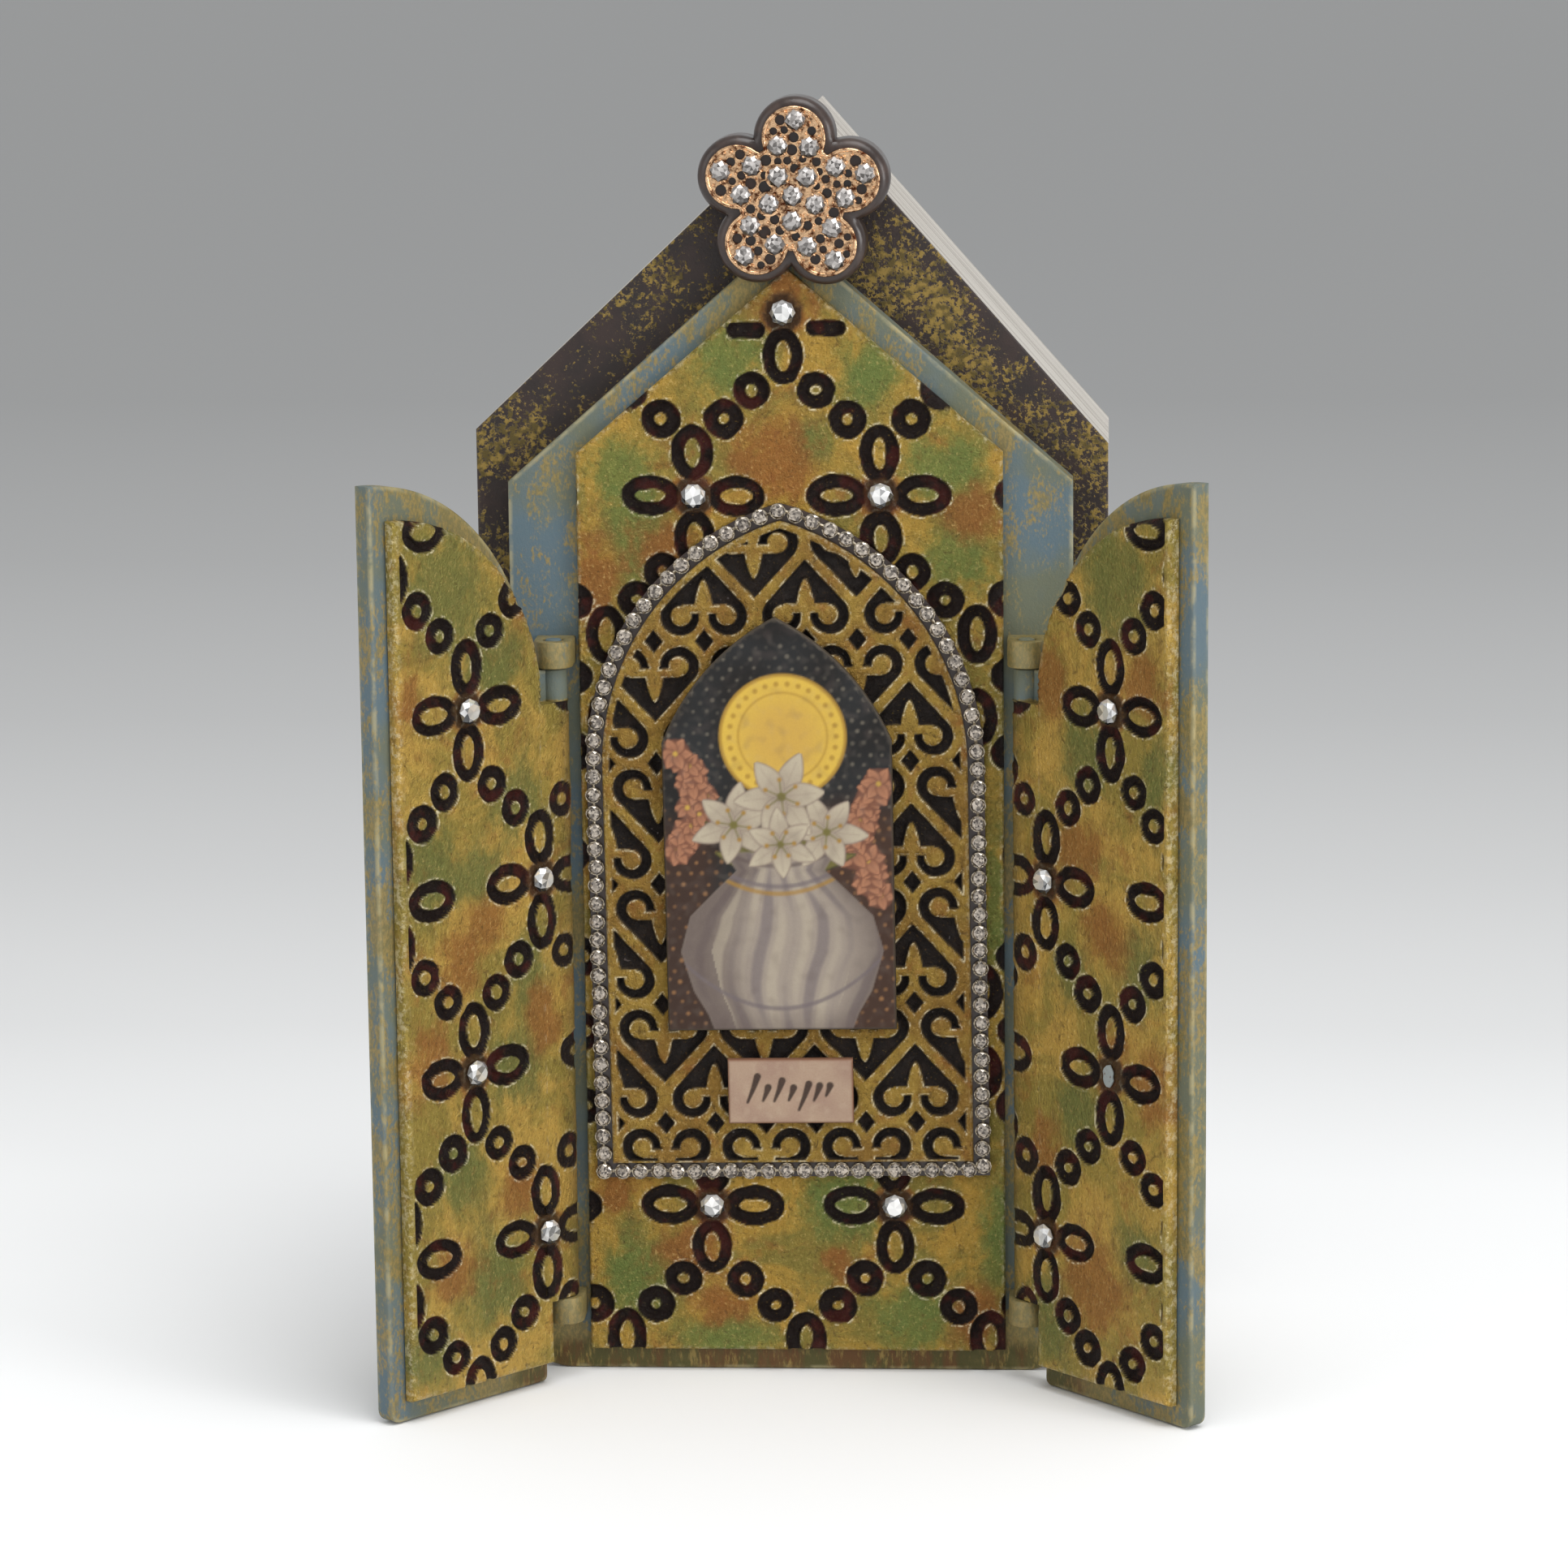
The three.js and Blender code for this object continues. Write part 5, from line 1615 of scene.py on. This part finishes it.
    def _pierced(self, at: Placement, back: float, front: float,
                 spots: Sequence[tuple[float, float, float]]) -> None:
        """Builds the plate with holes between the stones, and the gold grains between the holes."""
        outline = self.outline(-0.2)
        rng = random.Random(12)
        grains = bmesh.new()
        holes: list[tuple[float, float, float]] = []
        for attempt in range(self.hole_tries):
            x, z = rng.uniform(-23, 23), rng.uniform(-23, 23)
            radius = rng.uniform(*self.holes) if attempt < 5000 else self.holes[0]
            clear = radius + self.hole_gap
            apart = all(math.hypot(x - hx, z - hz) > clear + other for hx, hz, other in holes)
            if apart and self._free(x, z, radius, spots, outline):
                holes.append((x, z, radius))
        set_grains: list[tuple[float, float]] = []
        for _ in range(self.grain_tries):
            x, z = rng.uniform(-23, 23), rng.uniform(-23, 23)
            apart = all(math.hypot(x - hx, z - hz) > other + 0.25 for hx, hz, other in holes)
            apart = apart and all(math.hypot(x - gx, z - gz) > self.grain_gap for gx, gz in set_grains)
            if apart and self._free(x, z, 0.3, spots, outline):
                set_grains.append((x, z))
                ball(grains, Vector((x, front, z)), rng.uniform(*self.grains))
        loops = [outline, *(arc((x, z), (radius, radius), 0, 330, 11) for x, z, radius in holes)]
        bm = pierced([[(x, back, z) for x, z in loop] for loop in loops], (0, front - back, 0))
        add_piece("brooch_plate", bm, [self.shop.rose_gold], at, "root", ["brooch_face"])
        add_piece("brooch_grains", grains, [self.shop.rose_gold], at, "root")
        log.info("brooch: %d holes, %d grains", len(holes), len(set_grains))

    def _free(self, x: float, z: float, margin: float, spots: Sequence[tuple[float, float, float]],
              outline: Points) -> bool:
        """Tells whether a place lies on the plate, clear of its edge, the stones and the inner flower."""
        bearing = math.atan2(z, x) % (2 * math.pi)
        limit = math.hypot(*outline[int(bearing / (2 * math.pi) * len(outline)) % len(outline)])
        rim = min(math.dist((x, z), point) for point in outline)
        clear = all(math.hypot(x - sx, z - sz) > margin + self.stone.radius - 0.4 for sx, sz, _ in spots)
        return margin + 5.2 < math.hypot(x, z) < limit and rim > margin + 0.5 and clear

    def _bead(self, at: Placement, front: float) -> None:
        """Builds the rounded bead along the plate's edge."""
        bm = bmesh.new()
        rings = []
        points = self.outline(-self.bead * 0.6)
        count = len(points)
        for i, (x, z) in enumerate(points):
            (ax, az), (bx, bz) = points[i - 1], points[(i + 1) % count]
            way = Vector((bx - ax, 0, bz - az)).normalized()
            out = way.cross(Vector((0, 1, 0)))
            ring = []
            for k in range(8):
                angle = 2 * math.pi * k / 8
                turned = out * math.cos(angle) + Vector((0, -1, 0)) * math.sin(angle)
                ring.append(bm.verts.new(Vector((x, front + 0.1, z)) + turned * self.bead))
            rings.append(ring)
        for a, b in zip(rings, [*rings[1:], rings[0]]):
            for k in range(8):
                bm.faces.new((a[k], a[(k + 1) % 8], b[(k + 1) % 8], b[k]))
        bmesh.ops.recalc_face_normals(bm, faces=bm.faces)
        add_piece("brooch_bead", bm, [self.shop.rose_gold], at, "root", crease=80)

    def _setting(self, bm: BMesh, x: float, y: float, z: float, turn: float) -> None:
        """Adds a low cup with four claws round one stone."""
        radius = self.stone.radius
        bmesh.ops.create_cone(bm, cap_ends=True, segments=16, radius1=radius * 0.98, radius2=radius * 0.98,
                              depth=1.0, matrix=Matrix.Translation((x, y + 0.25, z)) @ FACING)
        for corner in range(4):
            angle = turn + math.pi * corner / 2
            u, v = radius * math.cos(angle), radius * math.sin(angle)
            ball(bm, Vector((x + u, y - 0.5, z + v)), self.claw)


class Side(Enum):
    """The two wings, by the sign of X on their side."""

    LEFT = -1
    RIGHT = 1


@dataclass
class Wing:
    """A blue quarter-arch wing on its pin, with a gilded panel and crystals."""

    shop: Workshop
    side: Side
    greens: tuple[Stain, ...]
    umbers: tuple[Stain, ...]
    seed: int
    arch_height: float = 174.0
    outer_corner: float = 3.0
    inner_corner: float = 1.5
    softness: float = 0.5
    knuckle: float = 3.2
    pin: float = 2.05
    pin_foot: float = 14.4
    pin_head: float = 7.3
    skin: float = 0.5
    skin_ends: tuple[float, float] = (8.8, -5.7)
    skin_cell: tuple[float, float] = (0.45, 0.5)
    skin_top: float = 7.9
    plain_edge: float = 1.9
    spill_cuts: tuple[float, ...] = (6, 9, 14, 21, 30, 44)

    def __post_init__(self) -> None:
        """Works out the wing's own frame from its joint and two of its crystals."""
        self.word = self.side.name.lower()
        joint = next(j for j in frame["joints"] if j["child"] == f"{self.word}_wing")
        origin = Vector(joint["pos_m"]) / MM
        origin.z = 0
        still = Placement(origin)
        along = still.middle(f"crystal_{self.word}_1") - still.middle(f"crystal_{self.word}_4")
        along *= self.side.value
        self.placement = Placement(origin, turn=math.atan2(along.y, along.x))
        self.body = f"{self.word}_wing"
        _, eye_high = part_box(f"hinge_eye_{self.word}_bottom")
        top_low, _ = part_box(f"hinge_eye_{self.word}_top")
        self.foot, self.head = eye_high.z / MM + 0.3, top_low.z / MM - 0.3

    def build(self) -> None:
        """Builds the board, the panel and the crystals."""
        self._board()
        numbers = (1, 2, 3, 4) if self.side is Side.LEFT else (1, 2, 4)
        jewels = Jewels(self.shop, self.placement, self.body)
        spots = jewels.build([f"crystal_{self.word}_{number}" for number in numbers])
        if self.side is Side.RIGHT:
            spots.append(self._glue())
        self._panel(spots)

    def _board(self) -> None:
        """Builds the blue board with its knuckle and pin."""
        sign = self.side.value
        low, high = self.placement.box(f"{self.word}_wing_board")
        corners = self.placement.corners(f"{self.word}_wing_board")
        eye_low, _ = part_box(f"hinge_eye_{self.word}_bottom")
        foot, head = self.foot, self.head
        width = max(abs(low.x), abs(high.x))
        front = min(y for x, y, _ in corners if abs(x) > self.knuckle + 1)
        back = max(y for x, y, _ in corners if abs(x) > self.knuckle + 1)
        edge = min(abs(x) for x, _, z in corners if z < eye_low.z / MM)
        r, c = self.outer_corner, self.inner_corner
        rise = high.z - self.arch_height
        meet = 180 - math.degrees(math.asin((head - self.arch_height) / rise))
        outline = [
            *arc((width - r, low.z + r), (r, r), -90, 0, 6),
            *arc((width, self.arch_height), (width - edge, rise), 90, meet, 40),
            (0, head), (0, foot), (edge, foot),
            *arc((edge + c, low.z + c), (c, c), 180, 270, 4),
        ]
        bm = slab(mirrored(outline, sign), back, front, self.softness, border=0.7)
        tube(bm, foot, head, self.knuckle, 0.4)
        tube(bm, low.z + self.pin_foot, head + self.pin_head, self.pin, 0.5)
        self._gild(bm, foot, head)
        add_piece(f"{self.word}_wing_blue", bm, [self.shop.blue], self.placement, self.body,
                  [f"{self.word}_wing_board"], crease=50)

    def _gild(self, bm: BMesh, foot: float, head: float) -> None:
        """Marks where the gold of the panel has run over the board and the knuckle."""
        for x in self.spill_cuts:
            slice_at(bm, 0, self.side.value * x)
        for level in (foot + 3, 60, 110, 150, head - 8.5, head - 7, 200, 212):
            slice_at(bm, 2, level)

        def spill(co: Vector) -> float:
            """Returns how far the gold covers a place."""
            x = abs(co.x)
            if co.z > head - 7.75 and x < 6.5:
                return -0.2
            ahead = float(np.interp(x, (9, 30, 56), (0.65, 0.15, 0.05))) * (1.0 if co.y < 2 else 0.25)
            return ahead * (1 - 0.7 * float(smooth(190, 205, np.float64(co.z))))

        mark(bm, "gilding", spill)

    def _glue(self) -> tuple[float, float]:
        """Builds the glue left by the lost stone and returns its place."""
        centre = self.placement.middle("glue_patch")
        low, high = self.placement.box("glue_patch")
        rng = random.Random(8)
        outline = []
        for i in range(14):
            angle = 2 * math.pi * i / 14
            reach = (2.1 + 0.45 * math.cos(2 * angle + 3.1)) * rng.uniform(0.9, 1.08)
            outline.append((centre.x + reach * math.cos(angle), centre.z + reach * 1.15 * math.sin(angle)))
        bm = slab(outline, high.y + 0.2, low.y, 0.15, segments=2, border=0.3)
        add_piece("lost_stone_glue", bm, [self.shop.glue], self.placement, self.body,
                  ["glue_patch"])
        return centre.x, centre.z

    def _panel(self, spots: list[tuple[float, float]]) -> None:
        """Builds the gilded panel."""
        sign = self.side.value
        node = f"{self.word}_wing_panel"
        low, high = self.placement.box(node)
        inner, outer = sorted((abs(low.x), abs(high.x)))
        radii = (outer - inner, high.z - self.arch_height)
        crown = arc((outer, self.arch_height), radii, 90, 180, 40)
        outline = mirrored([(inner, low.z), (outer, low.z), *crown], sign)
        first, second = spots[0], spots[1]
        pitch = (abs(first[0] - second[0]), first[1] - second[1])
        greens, umbers = ([replace(stain, x=sign * stain.x) for stain in group]
                          for group in (self.greens, self.umbers))
        lattice = FlowerLattice(first, pitch, spots, greens, umbers, outline,
                                lambda x, z: sign * x > outer - self.plain_edge, self.seed, groove=1.5)
        bm = ReliefPlate(outline, high.y, low.y, lattice.carve, roll=1.1).mesh()
        add_piece(f"{self.word}_wing_relief", bm, [self.shop.wing_clay], self.placement, self.body,
                  [node], crease=70)
        self._skin(lattice, -low.y)

    def _skin(self, lattice: FlowerLattice, ahead: float) -> None:
        """Builds the clay that runs on from the panel over the knuckle, with its pattern and painted shade
        where it turns round towards the board.

        Args:
            lattice: The panel's pattern.
            ahead: How far the panel's front lies ahead of the pin.
        """
        sign, round_at = self.side.value, self.knuckle + self.skin
        steps = np.arange(*self.skin_ends, -self.skin_cell[0])
        levels = np.arange(self.foot, self.head - self.skin_top, self.skin_cell[1])
        s, z = (grid.ravel() for grid in np.meshgrid(steps, levels))
        cut = lattice.carve(sign * s, z, 0)
        # Painted shade: the clay darkens to the glaze as it turns from the trough round the knuckle towards
        # the board.
        cut.layers["recess"] = np.maximum(cut.layers["recess"], 0.65 * smooth(4.5, -3, s))
        sunk = np.clip(cut.depth, 0, 0.45)
        over = ahead + 0.12
        base = np.interp(s, (0, 2.5, 6.2, 8.0, 8.8), (round_at, round_at, over, over, ahead - 0.6))
        turned = np.maximum(-s, 0) / (round_at - 0.25)
        x = np.maximum(s, 0) - (base - sunk) * np.sin(turned)
        y = -(base - sunk) * np.cos(turned)
        bm = bmesh.new()
        layers = {name: bm.verts.layers.float.new(name) for name in cut.layers}
        rows = []
        for level in range(len(levels)):
            row = []
            for i in range(level * len(steps), (level + 1) * len(steps)):
                vert = bm.verts.new((sign * x[i], y[i], z[i]))
                for name, layer in layers.items():
                    vert[layer] = cut.layers[name][i]
                row.append(vert)
            row += [bm.verts.new((sign * u, 1.0, levels[level])) for u in (0, steps[0])]
            rows.append(row)
        for below, above in zip(rows, rows[1:]):
            for i in range(len(below)):
                j = (i + 1) % len(below)
                bm.faces.new((below[i], below[j], above[j], above[i]))
        bm.faces.new(rows[0])
        bm.faces.new(rows[-1])
        bmesh.ops.recalc_face_normals(bm, faces=bm.faces)
        add_piece(f"{self.word}_wing_skin", bm, [self.shop.wing_clay], self.placement, self.body,
                  crease=70)


# ---------------------------------------------------------------- camera and light


@dataclass
class Studio:
    """The camera, soft studio lights and a pale floor with a painted falloff of light."""

    target: Vector = field(default_factory=lambda: Vector((-2.15, -36.7, 150.6)))
    distance: float = 1308.7
    yaw: float = 3.59
    pitch: float = 10.53
    roll: float = -0.62
    lens: float = 121.1
    floor_radius: float = 14.0
    # Floor lightness by depth in metres: a painted falloff of the light, white near the shrine and grey far
    # behind.
    painted_falloff: tuple[tuple[float, float], ...] = (
        (-0.1, 0.89), (0.145, 0.86), (0.34, 0.69), (0.59, 0.59), (0.935, 0.495), (1.42, 0.42),
        (2.17, 0.363), (3.47, 0.36),
    )
    sky: Shade = (0.92, 0.94, 0.95)
    sky_strength: float = 0.62
    key_place: Shade = (0.35, -0.6, 1.5)
    key_strength: float = 0.95
    key_angle: float = 50
    panels: tuple[tuple[str, Shade, float, float], ...] = (
        ("fill", (-1.5, -1.3, 0.9), 1.2, 6), ("top", (0.3, -0.5, 1.7), 0.9, 8),
        ("strip", (1.3, -0.9, 0.5), 0.6, 9),
    )

    def build(self) -> None:
        """Sets the camera, the lights and the floor."""
        self._camera()
        self._floor()
        self._lights()

    def _camera(self) -> None:
        """Places the camera a little to the right and above."""
        yaw, pitch, roll = (math.radians(a) for a in (self.yaw, self.pitch, self.roll))
        level = math.cos(pitch)
        forward = Vector((-math.sin(yaw) * level, math.cos(yaw) * level, -math.sin(pitch)))
        right = Vector((math.cos(yaw), math.sin(yaw), 0))
        up = right.cross(forward)
        across = right * math.cos(roll) + up * math.sin(roll)
        upward = up * math.cos(roll) - right * math.sin(roll)
        data = bpy.data.cameras.new("camera")
        data.lens = self.lens
        data.clip_end = 60
        camera = bpy.data.objects.new("camera", data)
        turned = Matrix((across, upward, -forward)).transposed().to_4x4()
        camera.matrix_world = Matrix.Translation((self.target - forward * self.distance) * MM) @ turned
        bpy.context.scene.collection.objects.link(camera)
        bpy.context.scene.camera = camera

    def _floor(self) -> None:
        """Lays a floor that is white in front of the shrine and turns grey behind it, a painted falloff of
        light.
        """
        bm = bmesh.new()
        bmesh.ops.create_circle(bm, cap_ends=True, segments=96, radius=self.floor_radius)
        bmesh.ops.translate(bm, verts=bm.verts, vec=(0, 0, -0.0001))
        mesh = bpy.data.meshes.new("floor")
        bm.to_mesh(mesh)
        bm.free()
        g = Graph("pale_floor")
        axes = g.tree.nodes.new("ShaderNodeSeparateXYZ")
        g.put(axes.inputs[0], g.where)
        light = g.ramp(axes.outputs["Y"], self.painted_falloff)
        g.set(Base_Color=light, Roughness=0.9, Specular_IOR_Level=0.1)
        mesh.materials.append(g.material)
        floor = bpy.data.objects.new("floor", mesh)
        bpy.context.scene.collection.objects.link(floor)

    def _lights(self) -> None:
        """Hangs a broad key light above, a fill, a top light and a strip, under an even sky."""
        scene = bpy.context.scene
        scene.view_settings.view_transform = "Standard"
        world = bpy.data.worlds.new("studio")
        world.use_nodes = True
        sky = world.node_tree.nodes["Background"]
        sky.inputs["Color"].default_value = (*self.sky, 1)
        sky.inputs["Strength"].default_value = self.sky_strength
        scene.world = world
        sun = bpy.data.lights.new("key", "SUN")
        sun.energy = self.key_strength
        sun.angle = math.radians(self.key_angle)
        self._aim("key", sun, self.key_place)
        for name, place, size, power in self.panels:
            light = bpy.data.lights.new(name, "AREA")
            light.shape = "SQUARE"
            light.size = size
            light.energy = power
            self._aim(name, light, place)

    def _aim(self, name: str, light: bpy.types.Light, place: Shade) -> None:
        """Puts a light at a place, facing the middle of the shrine."""
        lamp = bpy.data.objects.new(name, light)
        toward = Vector((0, 0, 0.15)) - Vector(place)
        turned = toward.to_track_quat("-Z", "Y").to_matrix().to_4x4()
        lamp.matrix_world = Matrix.Translation(place) @ turned
        bpy.context.scene.collection.objects.link(lamp)


LEFT_GREENS = stains(
    (38, 206, 12, 1.5), (22, 186, 9), (17, 150, 8, 1.4), (44, 137, 8, 1.5), (30, 133, 7),
    (14, 107, 7, 1.5), (18, 84, 9), (37, 60, 9), (27, 32, 10, 1.4), (48, 16, 8),
)
LEFT_UMBERS = stains(
    (12, 200, 4, 2), (50, 180, 4, 2), (26, 122, 6), (36, 112, 7), (9, 94, 5, 1.8), (46, 88, 7, 1.5),
    (40, 36, 8), (18, 52, 7),
)
RIGHT_GREENS = stains(
    (36, 206, 12, 1.3), (24, 163, 8, 1.4), (50, 160, 5, 2), (43, 112, 8, 1.5), (20, 108, 7),
    (22, 74, 8), (42, 42, 8), (13, 20, 9, 1.5),
)
RIGHT_UMBERS = stains(
    (13, 178, 6, 1.6), (45, 182, 8), (22, 140, 9), (33, 120, 7), (48, 84, 6, 1.5), (28, 30, 12, 1.2),
    (36, 93, 5), (10, 62, 5, 1.6),
)


def main() -> None:
    """Sets up the studio, then builds the shrine from back to front."""
    logging.basicConfig(level=logging.INFO, format="%(name)s: %(message)s")
    Studio().build()
    shop = Workshop()
    panel, _ = UPRIGHT.box("centre_panel")
    stack = Placement(Vector((-0.6, panel.y, 55.3)), lean=math.radians(-0.6))
    BackBlock(shop).build()
    CentreBoard(shop).build()
    CentrePanel(shop).build()
    Shrine(shop, stack).build()
    Brooch(shop).build()
    Wing(shop, Side.LEFT, LEFT_GREENS, LEFT_UMBERS, seed=23).build()
    Wing(shop, Side.RIGHT, RIGHT_GREENS, RIGHT_UMBERS, seed=37).build()


if __name__ == "__main__":
    main()
